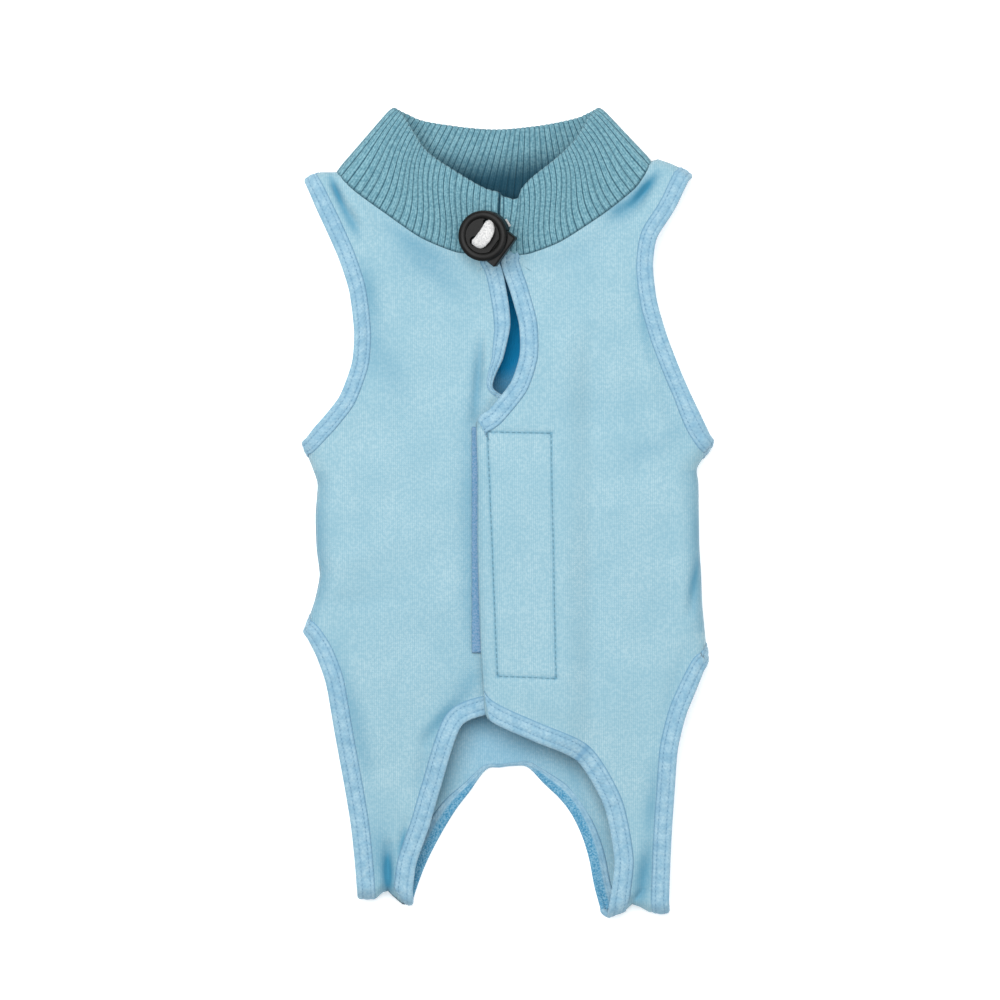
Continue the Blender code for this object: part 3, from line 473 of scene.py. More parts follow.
# merge doubles, close the cut ends and turn the faces outwards
def closeMesh(piece, gap=0.0, capEnds=False):
    selectOnly([piece])
    bpy.ops.object.mode_set(mode="EDIT")
    bpy.ops.mesh.select_all(action="SELECT")
    if gap:
        bpy.ops.mesh.remove_doubles(threshold=gap)
    if capEnds:
        bpy.ops.mesh.select_all(action="DESELECT")
        bpy.ops.mesh.select_non_manifold()
        bpy.ops.mesh.fill_holes(sides=0)
    bpy.ops.mesh.select_all(action="SELECT")
    bpy.ops.mesh.normals_make_consistent(inside=False)
    bpy.ops.object.mode_set(mode="OBJECT")
    piece.data.shade_smooth()


def wallPiece(piece, thickness):
    wall = piece.modifiers.new("Wall", "SOLIDIFY")
    wall.thickness = thickness
    wall.offset = 0
    selectOnly([piece])
    bpy.ops.object.modifier_apply(modifier="Wall")
    closeMesh(piece)


def finishPiece(piece, nodeName, material):
    piece.data.materials.clear()
    piece.data.materials.append(material)
    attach(piece, "suit")
    if nodeName:
        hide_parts(nodeName)


# materials
def newMaterial(name):
    material = bpy.data.materials.new(name)
    material.use_nodes = True
    return material, material.node_tree, material.node_tree.nodes["Principled BSDF"]


def rgb(red, green, blue):
    return tuple(((value / 255 + 0.055) / 1.055) ** 2.4 if value > 10 else value / 255 / 12.92
                 for value in (red, green, blue)) + (1.0,)


def node(tree, kind, **values):
    made = tree.nodes.new(kind)
    for key, value in values.items():
        setattr(made, key, value)
    return made


def setSockets(made, values):
    for name, value in values.items():
        made.inputs[name].default_value = value


def mixColour(tree, factor, first, second):
    mix = node(tree, "ShaderNodeMix", data_type="RGBA")
    for index, value in ((0, factor), (6, first), (7, second)):
        if isinstance(value, tuple):
            mix.inputs[index].default_value = value
        else:
            tree.links.new(value, mix.inputs[index])
    return mix.outputs[2]


def ramp(tree, source, low, high, lowGrey=0.0, highGrey=1.0):
    made = node(tree, "ShaderNodeValToRGB")
    made.color_ramp.elements[0].position = low
    made.color_ramp.elements[1].position = high
    made.color_ramp.elements[0].color = (lowGrey, lowGrey, lowGrey, 1)
    made.color_ramp.elements[1].color = (highGrey, highGrey, highGrey, 1)
    tree.links.new(source, made.inputs[0])
    return made.outputs[0]


def noise(tree, where, scale, detail, roughness=0.5):
    made = node(tree, "ShaderNodeTexNoise")
    setSockets(made, {"Scale": scale, "Detail": detail, "Roughness": roughness})
    tree.links.new(where, made.inputs["Vector"])
    return made.outputs["Fac"]


def wave(tree, where, direction, scale, distortion, detailScale=1.0):
    made = node(tree, "ShaderNodeTexWave", bands_direction=direction)
    setSockets(made, {"Scale": scale, "Distortion": distortion, "Detail Scale": detailScale})
    tree.links.new(where, made.inputs["Vector"])
    return made.outputs["Fac"]


def objectPlace(tree):
    return node(tree, "ShaderNodeTexCoord").outputs["Object"]


def surfacePlace(tree):
    return node(tree, "ShaderNodeUVMap", uv_map="UVMap").outputs["UV"]


def pointValue(tree, name):
    return node(tree, "ShaderNodeAttribute", attribute_name=name).outputs["Fac"]


def combine(tree, operation, first, second):
    made = node(tree, "ShaderNodeMath", operation=operation)
    tree.links.new(first, made.inputs[0])
    tree.links.new(second, made.inputs[1])
    return made.outputs[0]


# the shader takes the colour, the look's own numbers, and a bump where the look has one
def finishShader(tree, shader, colour, look, height):
    tree.links.new(colour, shader.inputs["Base Color"])
    setSockets(shader, look["surface"])
    if "bump" in look:
        bump = node(tree, "ShaderNodeBump")
        setSockets(bump, {"Strength": look["bump"][0], "Distance": look["bump"][1]})
        tree.links.new(height, bump.inputs["Height"])
        tree.links.new(bump.outputs["Normal"], shader.inputs["Normal"])


jerseyLook = {
    "light": rgb(160, 190, 200),
    "dark": rgb(148, 182, 194),
    "groove": rgb(118, 162, 180),
    # colour of the painted shade in folds, creases and hollows
    "shadeColour": rgb(58, 128, 158),
    # colour of the painted shade on the back's inner face, deep in shadow round the keyhole
    "inside": rgb(16, 140, 196),
    "waleScale": 352.0,
    "surface": {"Roughness": 0.92, "Specular IOR Level": 0.15, "Sheen Weight": 0.15, "Sheen Roughness": 0.5},
    "bump": (0.35, 0.0002),
}


def jerseyMaterial(name, look, paintsInsideShade):
    material, tree, shader = newMaterial(name)
    where = objectPlace(tree)
    speck = noise(tree, where, 900, 2)
    wale = wave(tree, where, "X", look["waleScale"], 1.6, 1.2)
    course = wave(tree, where, "Y", look["waleScale"] * 1.15, 2.5)
    colour = mixColour(tree, ramp(tree, noise(tree, where, 55, 3), 0.35, 0.68), look["dark"], look["light"])
    colour = mixColour(tree, ramp(tree, wale, 0.0, 0.45, 0.55, 0.0), colour, look["groove"])
    colour = mixColour(tree, ramp(tree, speck, 0.40, 0.62, 0.48, 0.0), colour, look["groove"])
    # painted shade: the cloth darkens towards a deeper blue in folds, creases, along seams and under bands
    colour = mixColour(tree, pointValue(tree, "paintedShade"), colour, look["shadeColour"])
    if paintsInsideShade:
        # painted shade: the back's inner face turns a deep saturated blue where it lies in shade
        colour = mixColour(tree, pointValue(tree, "inside"), colour, look["inside"])
    height = combine(tree, "ADD", combine(tree, "MULTIPLY", wale, course), speck)
    finishShader(tree, shader, colour, look, height)
    return material


bindingLook = {
    "light": rgb(154, 187, 202),
    "dark": rgb(132, 171, 191),
    "groove": rgb(96, 142, 172),
    # fuzzy inner face of the binding: its own grain, darker and bluer as painted shade
    "shadedFuzzDark": rgb(62, 130, 166),
    "shadedFuzzLight": rgb(122, 170, 194),
    "surface": {"Roughness": 0.9, "Specular IOR Level": 0.15, "Sheen Weight": 0.15},
    "bump": (0.4, 0.0002),
}


def bindingMaterial(name, look):
    material, tree, shader = newMaterial(name)
    where = objectPlace(tree)
    speck = noise(tree, where, 1100, 2)
    knit = wave(tree, surfacePlace(tree), "DIAGONAL", 330, 2.0)
    colour = mixColour(tree, ramp(tree, noise(tree, where, 260, 3), 0.36, 0.64), look["dark"], look["light"])
    # painted shade along the stitch rows, at the band's inner edge and in the crotch band's creases
    colour = mixColour(tree, pointValue(tree, "valleyShade"), colour, look["groove"])
    colour = mixColour(tree, ramp(tree, speck, 0.38, 0.60, 0.35, 0.0), colour, look["groove"])
    # the binding's inner face on the back has a fuzzy grain, darker and bluer as painted shade
    shadedFuzz = mixColour(tree, ramp(tree, noise(tree, where, 1500, 4), 0.40, 0.62), look["shadedFuzzDark"], look["shadedFuzzLight"])
    colour = mixColour(tree, pointValue(tree, "fuzz"), colour, shadedFuzz)
    finishShader(tree, shader, colour, look, combine(tree, "ADD", knit, speck))
    return material


ribLook = {
    "light": rgb(126, 170, 182),
    "dark": rgb(94, 140, 155),
    # dark colour of the knit's small stitches and of the painted shade in grooves and below the front's edge
    "groove": rgb(14, 58, 76),
    "surface": {"Roughness": 0.95, "Specular IOR Level": 0.15, "Sheen Weight": 0.1},
    "bump": (0.5, 0.00025),
}


def ribMaterial(name, look):
    material, tree, shader = newMaterial(name)
    stitch = wave(tree, surfacePlace(tree), "Y", 330, 1.5)
    speck = noise(tree, objectPlace(tree), 1000, 3)
    colour = mixColour(tree, ramp(tree, speck, 0.38, 0.62), look["dark"], look["light"])
    colour = mixColour(tree, ramp(tree, stitch, 0.0, 0.5, 0.30, 0.0), colour, look["groove"])
    # painted shade: the ribs' grooves, the butt seam, the back's inner face and the join with the cloth darken
    for values in ("groove", "shade"):
        colour = mixColour(tree, pointValue(tree, values), colour, look["groove"])
    finishShader(tree, shader, colour, look, combine(tree, "ADD", stitch, speck))
    return material


# fuzzy tapes and twisted threads: one grain between two colours
tapeLook = {
    "grain": (1300, 5, 0.7),
    "ramp": (0.38, 0.62),
    "surface": {"Roughness": 0.95, "Specular IOR Level": 0.1},
    "bump": (0.8, 0.0004),
}
threadLook = {
    "grain": (1800, 3),
    "ramp": (0.35, 0.65),
    "surface": {"Roughness": 0.7, "Sheen Weight": 0.2},
}
cordLook = dict(threadLook, grain=(1500, 3))


def grainMaterial(name, look, dark, light):
    material, tree, shader = newMaterial(name)
    grain = noise(tree, objectPlace(tree), *look["grain"])
    finishShader(tree, shader, mixColour(tree, ramp(tree, grain, *look["ramp"]), dark, light), look, grain)
    return material


plasticLook = {
    "dark": rgb(9, 9, 9),
    "light": rgb(14, 14, 14),
    "rough": (0.34, 0.50),
    "surface": {"Specular IOR Level": 0.2},
    "bump": (0.12, 0.0001),
}


def plasticMaterial(name, look):
    material, tree, shader = newMaterial(name)
    where = objectPlace(tree)
    grain = noise(tree, where, 1600, 3)
    cloud = noise(tree, where, 160, 2)
    rough = node(tree, "ShaderNodeMapRange")
    setSockets(rough, {"To Min": look["rough"][0], "To Max": look["rough"][1]})
    tree.links.new(cloud, rough.inputs["Value"])
    tree.links.new(rough.outputs["Result"], shader.inputs["Roughness"])
    finishShader(tree, shader, mixColour(tree, ramp(tree, cloud, 0.35, 0.65), look["dark"], look["light"]), look, grain)
    return material


jerseyCloth = jerseyMaterial("jerseyCloth", jerseyLook, False)
backCloth = jerseyMaterial("backCloth", jerseyLook, True)
bindingCloth = bindingMaterial("bindingCloth", bindingLook)
ribCloth = ribMaterial("ribCloth", ribLook)
loopCloth = grainMaterial("loopCloth", tapeLook, rgb(82, 132, 166), rgb(128, 156, 184))
hookCloth = grainMaterial("hookCloth", tapeLook, rgb(100, 142, 172), rgb(140, 172, 196))
stitchThread = grainMaterial("stitchThread", threadLook, rgb(84, 130, 160), rgb(110, 150, 176))
seamThread = grainMaterial("seamThread", threadLook, rgb(80, 126, 146), rgb(104, 146, 164))
cordWhite = grainMaterial("cordWhite", cordLook, rgb(176, 177, 178), rgb(214, 214, 213))
blackPlastic = plasticMaterial("blackPlastic", plasticLook)
print("materials made")

# free edges with their bindings: width in metres along each
bindings = {
    "arm": 0.0071,
    "armLow": 0.0086,
    "leg": 0.0077,
    "crotch": 0.0081,
    "keyLeft": ([5, 7, 8, 9, 9.5], [0.0072, 0.0070, 0.0050, 0.0022, 0.0018]),
    "keyRight": ([5, 11], [0.0077, 0.0077]),
    "archWidths": [(-0.47, 0.0075), (-0.285, 0.0069), (-0.215, 0.0052), (-0.175, 0.0038), (-0.118, 0.0021),
                   (-0.064, 0.0015), (0.020, 0.0016), (0.085, 0.0020), (0.125, 0.0034), (0.175, 0.0052),
                   (0.231, 0.0062), (0.314, 0.0064), (0.378, 0.0068), (0.457, 0.0072)],
    "thick": 0.0012,
    "profile": [(0.00, 0.42), (0.07, 0.84), (0.16, 1.06), (0.25, 0.98), (0.31, 0.80), (0.37, 0.98), (0.52, 1.10),
                (0.68, 0.99), (0.76, 0.78), (0.84, 0.92), (0.95, 0.88), (1.00, 0.62)],
    "rows": (0.31, 0.76),
    "pitch": 0.0019,
    "stitchShare": 0.58,
    "stitchSize": 0.00022,
    "pucker": 0.00010,
    "shares": (0, 0.05, 0.12, 0.2, 0.26, 0.31, 0.36, 0.44, 0.54, 0.64, 0.71, 0.76, 0.81, 0.9, 1.0),
    # painted shade across the band: the stitch rows' valleys and a dark line at the inner edge
    "valleyShade": ((0, 0.22, 0.31, 0.40, 0.67, 0.76, 0.85, 0.93, 1.0), (0.1, 0, 0.28, 0, 0, 0.28, 0, 0.1, 0.8)),
    # painted shade of the crotch band's creases: place in shares, width in metres, strength
    "crotchCreaseShades": [(-0.075, 0.254, 0.0005, 0.8), (-0.115, 0.250, 0.0004, 0.6), (-0.150, 0.247, 0.0005, 0.5),
                      (0.335, 0.192, 0.0007, 0.9)],
}


def armWidths(extras, line):
    steps, side = extras
    return bindings["arm"] + (bindings["armLow"] - bindings["arm"]) * smooth((steps - 6.5) / 2) * (line[:, 0] > 0)


def legWidths(extras, line):
    return np.full(len(line), bindings["leg"])


paths = {}
for side, column, sign in (("left", 0, 1), ("right", 2, -1)):
    points, steps, faces = sideLoop(column, 0, outline["armTip"])
    paths[side + "Arm"] = edgePath(points, True, sign, armWidths, extras=(steps, faces))
    points, steps, faces = sideLoop(column, outline["legTip"], outline["legEnd"])
    paths[side + "Leg"] = edgePath(points, True, sign, legWidths, extras=(steps, faces))


def keyholePath(column, lastStep, sign, lapped, widths, endLean=0):
    steps = np.linspace(outline["neckEnd"], lastStep, 400)
    flat = stationCurve(steps, column)
    # the top end is tucked under the collar
    steps = np.concatenate([[outline["neckEnd"]], steps])
    flat = np.vstack([flat[:1] + [[0.0, 0.0030]], flat])
    points = plain(flat[:, 0], flat[:, 1], 1)
    return edgePath(points, False, sign, lambda extras, line: np.interp(extras[0], widths[0], widths[1]),
                    lapped, extras=(steps,), endLean=endLean)


paths["keyLeft"] = keyholePath(4, outline["underlapTop"], -1, False, bindings["keyLeft"])
paths["keyRight"] = keyholePath(6, outline["flapTop"], 1, True, bindings["keyRight"], 0.75)


def crotchPath():
    quarter = np.sin(np.linspace(0, math.pi / 2, 400))
    leftSteps = outline["flapBottom"] + (outline["legEnd"] - outline["flapBottom"]) * quarter
    rightSteps = outline["flapCorner"] + (outline["legEnd"] - outline["flapCorner"]) * quarter
    leftFlat = warpEnds(stationCurve(leftSteps, 4), leftSteps)
    rightFlat = warpEnds(stationCurve(rightSteps, 6), rightSteps)
    arch = softLine(np.stack([placeX([row[0] for row in outline["arch"]]),
                              placeY([row[1] for row in outline["arch"]])], 1), 900)
    ends = np.linspace(0, 1, len(arch))
    ends = (1 - np.cos(ends * math.pi)) / 2 * 0.25 + ends * 0.75
    arch = pointsAt(ends, np.linspace(0, 1, len(arch)), arch)
    arch[0] = leftFlat[-1]
    arch[-1] = rightFlat[-1]
    left = plain(leftFlat[:, 0], leftFlat[:, 1], 1)
    back = plain(arch[:, 0], arch[:, 1], -1)
    right = plain(rightFlat[:, 0], rightFlat[:, 1], 1)[::-1]
    points = np.vstack([left, back[1:-1], right])
    part = np.concatenate([np.zeros(len(left)), np.linspace(0, 1, len(back) - 2), np.ones(len(right))])
    step = np.concatenate([leftSteps, np.full(len(back) - 2, 25.0), rightSteps[::-1]])

    def widths(extras, line):
        onArch = (extras[0] > 0.001) & (extras[0] < 0.999)
        shares = np.array(bindings["archWidths"])
        found = np.interp(line[:, 0] / suit["halfWidth"], shares[:, 0], shares[:, 1])
        return np.where(onArch, found, bindings["crotch"])

    path = edgePath(points, False, -1, widths, extras=(part, step), endLean=1.15)
    # the width changes softly where the front turns into the back
    kernel = np.ones(9) / 9
    path["width"] = np.convolve(np.pad(path["width"], 4, mode="edge"), kernel, mode="valid")
    return path


paths["crotch"] = crotchPath()
paths["crotch"]["lapped"] = paths["crotch"]["extras"][0] > 0.5
print("edges traced", {name: len(path["line"]) for name, path in paths.items()})


# a cloth edge beside its binding, over the steps, kept from turning back on itself
def edgeCurve(steps, points):
    order = np.argsort(steps, kind="stable")
    steps, points = np.asarray(steps)[order], np.asarray(points)[order]
    lowest = np.minimum.accumulate(points[:, 1])
    keep = np.concatenate([[True], points[1:, 1] < lowest[:-1] - 0.00001])
    keep[-1] = True
    steps, points = steps[keep], points[keep]
    return lambda wanted: pointsAt(wanted, steps, points)


# where the cloth goes under a binding
def tuckedEdge(path):
    return offsetPoints(path, path["width"] - suit["tuck"])[:, :2]


def outerEdge(side):
    column = 0 if side == "left" else 2
    sign = -1 if side == "left" else 1
    found = []
    for name in ("Arm", "Leg"):
        path = paths[side + name]
        steps = path["extras"][0]
        edge = tuckedEdge(path)
        last = int(np.argmax(steps)) if name == "Arm" else int(np.argmin(np.abs(steps - outline["legEnd"])))
        front = path["extras"][1] > 0
        found.append((steps[front], edge[front]))
    (armSteps, arm), (legSteps, leg) = found
    low = arm[np.argmax(armSteps), 1]
    high = leg[np.argmin(legSteps), 1]
    seamSteps = np.linspace(outline["armTip"] + 0.05, outline["legTip"] - 0.05, 200)
    heights = seamHeight(seamSteps, low, high, column)
    seam = np.stack([seamX(heights, sign), heights], 1)
    return edgeCurve(np.concatenate([armSteps, seamSteps, legSteps]), np.vstack([arm, seam, leg]))


# the seam's rows run evenly from the arm binding down to the leg binding
def seamHeight(step, top, bottom, column):
    steps = np.arange(outline["armTip"], outline["legTip"] + 1)
    heights = placeY(rowTable[outline["armTip"]:outline["legTip"] + 1, column + 1])
    share = (heights - heights[0]) / (heights[-1] - heights[0])
    return top + (bottom - top) * np.interp(step, steps, share)


def innerEdge(side):
    column = 4 if side == "left" else 6
    key = paths["keyLeft" if side == "left" else "keyRight"]
    keyEnd = outline["underlapTop"] if side == "left" else outline["flapTop"]
    keySteps = key["extras"][0]
    keyEdge = tuckedEdge(key)
    crotch = paths["crotch"]
    crotchEdge = tuckedEdge(crotch)
    part, stepAt = crotch["extras"]
    pick = part <= 0.0 if side == "left" else part >= 1.0
    crotchStart = outline["flapBottom"] if side == "left" else outline["flapCorner"]
    neckSteps = np.linspace(0, outline["neckEnd"] - 0.01, 160)
    neck = warpEnds(stationCurve(neckSteps, column), neckSteps)
    lapSteps = np.linspace(keyEnd, crotchStart - 0.02, 300)
    lapLine = stationCurve(lapSteps, column)
    corner = lapLine[0, 1]
    above = (keySteps > outline["neckEnd"]) & (keyEdge[:, 1] > corner + 0.0002)
    return edgeCurve(np.concatenate([neckSteps, keySteps[above], lapSteps, stepAt[pick]]),
                     np.vstack([neck, keyEdge[above], lapLine, crotchEdge[pick]]))


# steps of the panel's rows, so that rows lie about one grid size apart
def rowSteps(curveA, curveB, spacing):
    dense = np.linspace(0, outline["legEnd"], 1500)
    middleLine = (curveA(dense) + curveB(dense)) / 2
    surfaceLine = plain(middleLine[:, 0], middleLine[:, 1], 1)
    gaps = np.linalg.norm(np.diff(surfaceLine, axis=0), axis=1) + 0.000004
    reach = np.concatenate([[0], np.cumsum(gaps)])
    count = int(reach[-1] / spacing)
    return np.interp(np.linspace(0, reach[-1], count), reach, dense)


# an edge without its corners, for the rows' inner part
def calm(line):
    reach = 14
    padded = np.pad(line, ((reach, reach), (0, 0)), mode="edge")
    kernel = np.hanning(2 * reach + 3)[1:-1]
    kernel /= kernel.sum()
    found = np.stack([np.convolve(padded[:, axis], kernel, mode="valid") for axis in (0, 1)], 1)
    ends = np.clip(np.minimum(np.arange(len(line)), np.arange(len(line))[::-1]) / (2 * reach), 0, 1)[:, None]
    return line * (1 - ends) + found * ends


def frontPanel(name, side, lapped, nodeName):
    outer = outerEdge(side)
    inner = innerEdge(side)
    steps = rowSteps(outer, inner, suit["grid"])
    share = np.linspace(0, 1, int(0.085 / suit["grid"]))
    share = (share * 0.9 + 0.1 * (1 - np.cos(share * math.pi)) / 2)[None, :, None]
    outerLine = outer(steps)
    innerLine = inner(steps)
    outerCalm = calm(outerLine)
    innerCalm = calm(innerLine)
    flat = (outerCalm[:, None] * (1 - share) + innerCalm[:, None] * share
            + (outerLine - outerCalm)[:, None] * (1 - share) ** 12
            + (innerLine - innerCalm)[:, None] * share ** 12)
    x, y = flat[..., 0].copy(), flat[..., 1].copy()
    # first and last rows keep to the soft lines of the folds
    top = smooth(1 - steps / 0.8)[:, None]
    low = smooth((steps - 24.1) / 0.9)[:, None]
    rowTop = y[0].copy()
    rowLow = y[-1].copy()
    y += (shoulderY(x) - rowTop[None, :]) * top
    y += (legEndY(x) - rowLow[None, :]) * low
    points = dressed(plain(x, y, 1), lapped)
    points[..., 2] = np.maximum(points[..., 2], middle(y) + 0.0004)
    if lapped:
        edge = np.hypot(x - innerLine[:, :1], y - innerLine[:, 1:])
        along = smooth((steps - 10.8) / 0.4) * smooth((20.6 - steps) / 0.6)
        points[..., 2] -= lap["edgeDrop"] * (1 - smooth(edge / lap["edgeReach"])) ** 1.5 * along[:, None]
        # the stitched rectangle pulls the flap in along its lines
        for start, end in rectangleLines():
            points[..., 2] -= 0.00045 * np.exp(-(lineGap(x, y, start, end) / 0.0011) ** 2)
    piece = gridMesh(name, points)
    wallPiece(piece, suit["cloth"])
    addPaintedShade(piece, "front")
    finishPiece(piece, nodeName, jerseyCloth)
    declareSheet([points])
    return piece


# flat size and area of a cloth panel, measured along its own rows
def declareSheet(gridSets):
    width = length = area = 0.0
    for points in gridSets:
        across = np.diff(points, axis=1)
        along = np.diff(points, axis=0)
        width += np.linalg.norm(across, axis=2).sum(1).max()
        length = max(length, np.linalg.norm(along, axis=2).sum(0).max())
        area += np.linalg.norm(np.cross(across[:-1], along[:, :-1]), axis=2).sum()


def lineGap(x, y, start, end):
    way = end - start
    part = np.clip(((x - start[0]) * way[0] + (y - start[1]) * way[1]) / (way @ way), 0, 1)
    return np.hypot(x - start[0] - way[0] * part, y - start[1] - way[1] * part)


# painted shade goes on the cloth as a value at each point
def addPaintedShade(piece, rowsName):
    count = len(piece.data.vertices)
    places = np.zeros(count * 3)
    piece.data.vertices.foreach_get("co", places)
    places = places.reshape(-1, 3) - placeShift
    x, y = places[:, 0], places[:, 1]
    paintedShade = alongRows(shadeRows[rowsName], x, y)
    # painted shade also in the fold valleys, along the side seams and along the stitched rectangle's lines
    if rowsName == "front":
        paintedShade += np.clip(-foldHeight(x, y) / 0.0022, 0, 1) * 0.35
        nearSeam = np.minimum(x - seamX(y, -1), seamX(y, 1) - x)
        paintedShade += 0.30 * (1 - smooth(nearSeam / 0.007)) * (np.abs(y - placeY(0.45)) < placeY(0.60))
        for start, end in rectangleLines():
            paintedShade += 0.5 * np.exp(-(lineGap(x, y, start, end) / 0.0005) ** 2) * (places[:, 2] > middle(y))
    addValues(piece, "paintedShade", np.clip(paintedShade, 0, 1))
    return places


# stitched rectangle that holds the hook tape on the right front
rectangle = {
    "corners": [(-0.101, 0.598), (0.211, 0.596), (0.236, 0.293), (-0.052, 0.296)],
    "pitch": 0.0024,
    "size": 0.00020,
}


def rectangleLines():
    corners = [np.array([placeX(x), placeY(y)]) for x, y in rectangle["corners"]]
    return [(corners[k], corners[(k + 1) % 4]) for k in range(4)]


leftPanel = frontPanel("front_left_cloth", "left", False, "front_left_panel")
rightPanel = frontPanel("front_right_cloth", "right", True, "front_right_panel")
print("front panels made", len(leftPanel.data.polygons), len(rightPanel.data.polygons))


# back panel: two halves whose rows fan out round the crotch hole
def backPanel():
    leftOuter = outerEdge("left")
    rightOuter = outerEdge("right")
    crotch = paths["crotch"]
    part = crotch["extras"][0]
    pick = (part > 0) & (part < 1)
    archLine = tuckedEdge(crotch)[pick]
    topIndex = int(np.argmax(archLine[:, 1]))
    archTop = archLine[topIndex]
    steps = rowSteps(leftOuter, rightOuter, suit["backGrid"])
    centreTop = np.array([placeX(-0.07), placeY(0.922) - outline["backNeckDip"] * suit["length"]])
    half = int(0.084 / suit["backGrid"])
    archStep = 20.6
    share = np.linspace(0, 1, half)[None, :]
    halves = []
    grids = []
    for side, outer in (("left", leftOuter(steps)), ("right", rightOuter(steps))):
        arch = archLine[:topIndex + 1][::-1] if side == "left" else archLine[topIndex:]
        lowest = np.minimum.accumulate(arch[:, 1])
        keep = np.concatenate([[True], arch[1:, 1] < lowest[:-1] - 0.00001])
        arch = arch[keep]
        reach = reachAlong(arch)
        straight = np.interp(steps, [0, 5, 10, 17, archStep],
                             [centreTop[1], placeY(0.800), placeY(0.590), placeY(0.345), archTop[1]])
        along = np.clip((steps - archStep) / (outline["legEnd"] - archStep), 0, 1) * reach[-1]
        above = steps < archStep
        innerX = np.where(above, np.interp(steps, [0, archStep], [centreTop[0], archTop[0]]),
                          np.interp(along, reach, arch[:, 0]))
        innerY = np.where(above, straight, np.interp(along, reach, arch[:, 1]))
        x = outer[:, :1] * (1 - share) + innerX[:, None] * share
        y = outer[:, 1:] * (1 - share) + innerY[:, None] * share
        # the top row keeps to the shoulder's line and the neck's dip
        neckEnds = placeX([-0.835, 0.698])
        inNeck = np.clip((x - neckEnds[0]) / (neckEnds[1] - neckEnds[0]), 0, 1)
        neckLine = (placeY(0.916) + (placeY(0.928) - placeY(0.916)) * inNeck
                    - outline["backNeckDip"] * suit["length"] * np.sin(math.pi * inNeck) ** 0.8)
        top = smooth(1 - steps / 5.0)[:, None]
        y += (np.where((x > neckEnds[0]) & (x < neckEnds[1]), neckLine, shoulderY(x)) - y[0][None, :]) * top
        low = smooth((steps - 24.1) / 0.9)[:, None]
        y += (legEndY(x) - y[-1][None, :]) * low
        points = plain(x, y, -1)
        points[..., 2] = np.minimum(points[..., 2], middle(y) - 0.0004)
        inner = np.clip(openness(x, y), 0, 1)
        points[..., 2] += suit["backLift"] * inner + np.maximum(waveHeight(x * 1.3, y * 1.3), 0) * 0.5 * inner
        grids.append(points)
        halves.append(gridMesh("back_cloth_" + side, points))
    selectOnly(halves)
    bpy.ops.object.join()
    piece = halves[0]
    piece.name = "back_cloth"
    closeMesh(piece, gap=0.00001)
    wallPiece(piece, suit["cloth"])
    places = addPaintedShade(piece, "back")
    # painted shade of the back's inner face, strongest round the keyhole and softer over the crotch
    inside = alongRows(shadeRows["keyhole"], places[:, 0], places[:, 1])
    addValues(piece, "inside", np.clip(inside, 0, 1))
    finishPiece(piece, "back_panel", backCloth)
    declareSheet(grids)
    return piece


back = backPanel()
print("back made", len(back.data.polygons))


# folded bindings with puckers between the stitches
stitchSpots = []


def makeBinding(name, pathName, nodeName, fuzzSide=0.0, creaseShades=()):
    path = paths[pathName]
    count = len(path["line"])
    shares = np.array(bindings["shares"])
    profile = np.array(bindings["profile"])
    mids = []
    ways = []
    for share in shares:
        points = offsetPoints(path, path["width"] * share)
        ways.append(unit(slopeOf(points)))
        mids.append(dressed(points, path["lapped"]))
    mids = np.stack(mids, 1)
    ways = np.stack(ways, 1)
    thick = bindings["thick"] * np.interp(shares, profile[:, 0], profile[:, 1])
    reach = path["reach"]
    rough = np.random.default_rng(sum(ord(letter) for letter in name))
    ripple = np.zeros(count)
    for size in (0.0019, 0.0031, 0.0052, 0.0090):
        ripple += np.sin(reach * 2 * math.pi / size + rough.uniform(0, 6.28)) * rough.uniform(0.6, 1.0)
    bulge = np.sin(np.clip(shares, 0, 1) * math.pi) ** 0.5
    extra = bindings["pucker"] * ripple[:, None] * bulge[None, :]
    if pathName == "crotch":
        # gathered where the left front goes under the lap
        gather = np.exp(-((reach - 0.0075) / 0.006) ** 2)
        extra = extra + 0.00045 * (gather * np.sin(reach * 2 * math.pi / 0.0026))[:, None] * bulge[None, :]
    outside = mids + ways * (thick[None, :] + extra)[..., None]
    inside = mids - ways * (thick[None, :] + extra * 0.5)[..., None]
    ring = np.concatenate([outside, inside[:, ::-1]], 1)
    ring[..., 2] = np.maximum(ring[..., 2], 0.00002)
    ring = np.concatenate([ring, ring[:, :1]], 1)
    if path["closed"]:
        ring = np.concatenate([ring, ring[:1]], 0)
    piece = gridMesh(name, ring, uvScale=(0.018, reach[-1]))
    # painted shade across the band, deeper in the creases
    valleyShade = np.interp(shares, *bindings["valleyShade"])
    depth = np.broadcast_to(np.concatenate([valleyShade, valleyShade[::-1], valleyShade[:1]]), ring.shape[:2]).copy()
    for creaseX, creaseY, creaseWidth, strength in creaseShades:
        gap = np.hypot(path["line"][:, 0] - placeX(creaseX), path["line"][:, 1] - placeY(creaseY))
        depth[:count] += (strength * np.exp(-(gap / creaseWidth) ** 2))[:, None]
    addValues(piece, "valleyShade", np.clip(depth, 0, 1))
    # the inner face of the back's binding: fuzzy grain with painted shade
    fuzzAcross = fuzzSide * (1 - smooth((shares - 0.52) / 0.08))
    fuzz = np.broadcast_to(np.concatenate([np.zeros(len(shares)), fuzzAcross[::-1], [0]]), ring.shape[:2]).copy()
    if pathName == "crotch":
        onBack = (path["extras"][0] > 0.001) & (path["extras"][0] < 0.999)
        fuzz *= (onBack * smooth((path["width"] - 0.0026) / 0.0015))[:, None]
    addValues(piece, "fuzz", fuzz)
    closeMesh(piece, gap=0.000003, capEnds=not path["closed"])
    finishPiece(piece, nodeName, bindingCloth)
    for row in bindings["rows"]:
        column = int(np.argmin(np.abs(shares - row)))
        gatherStitches(outside[:, column], ways[:, column])


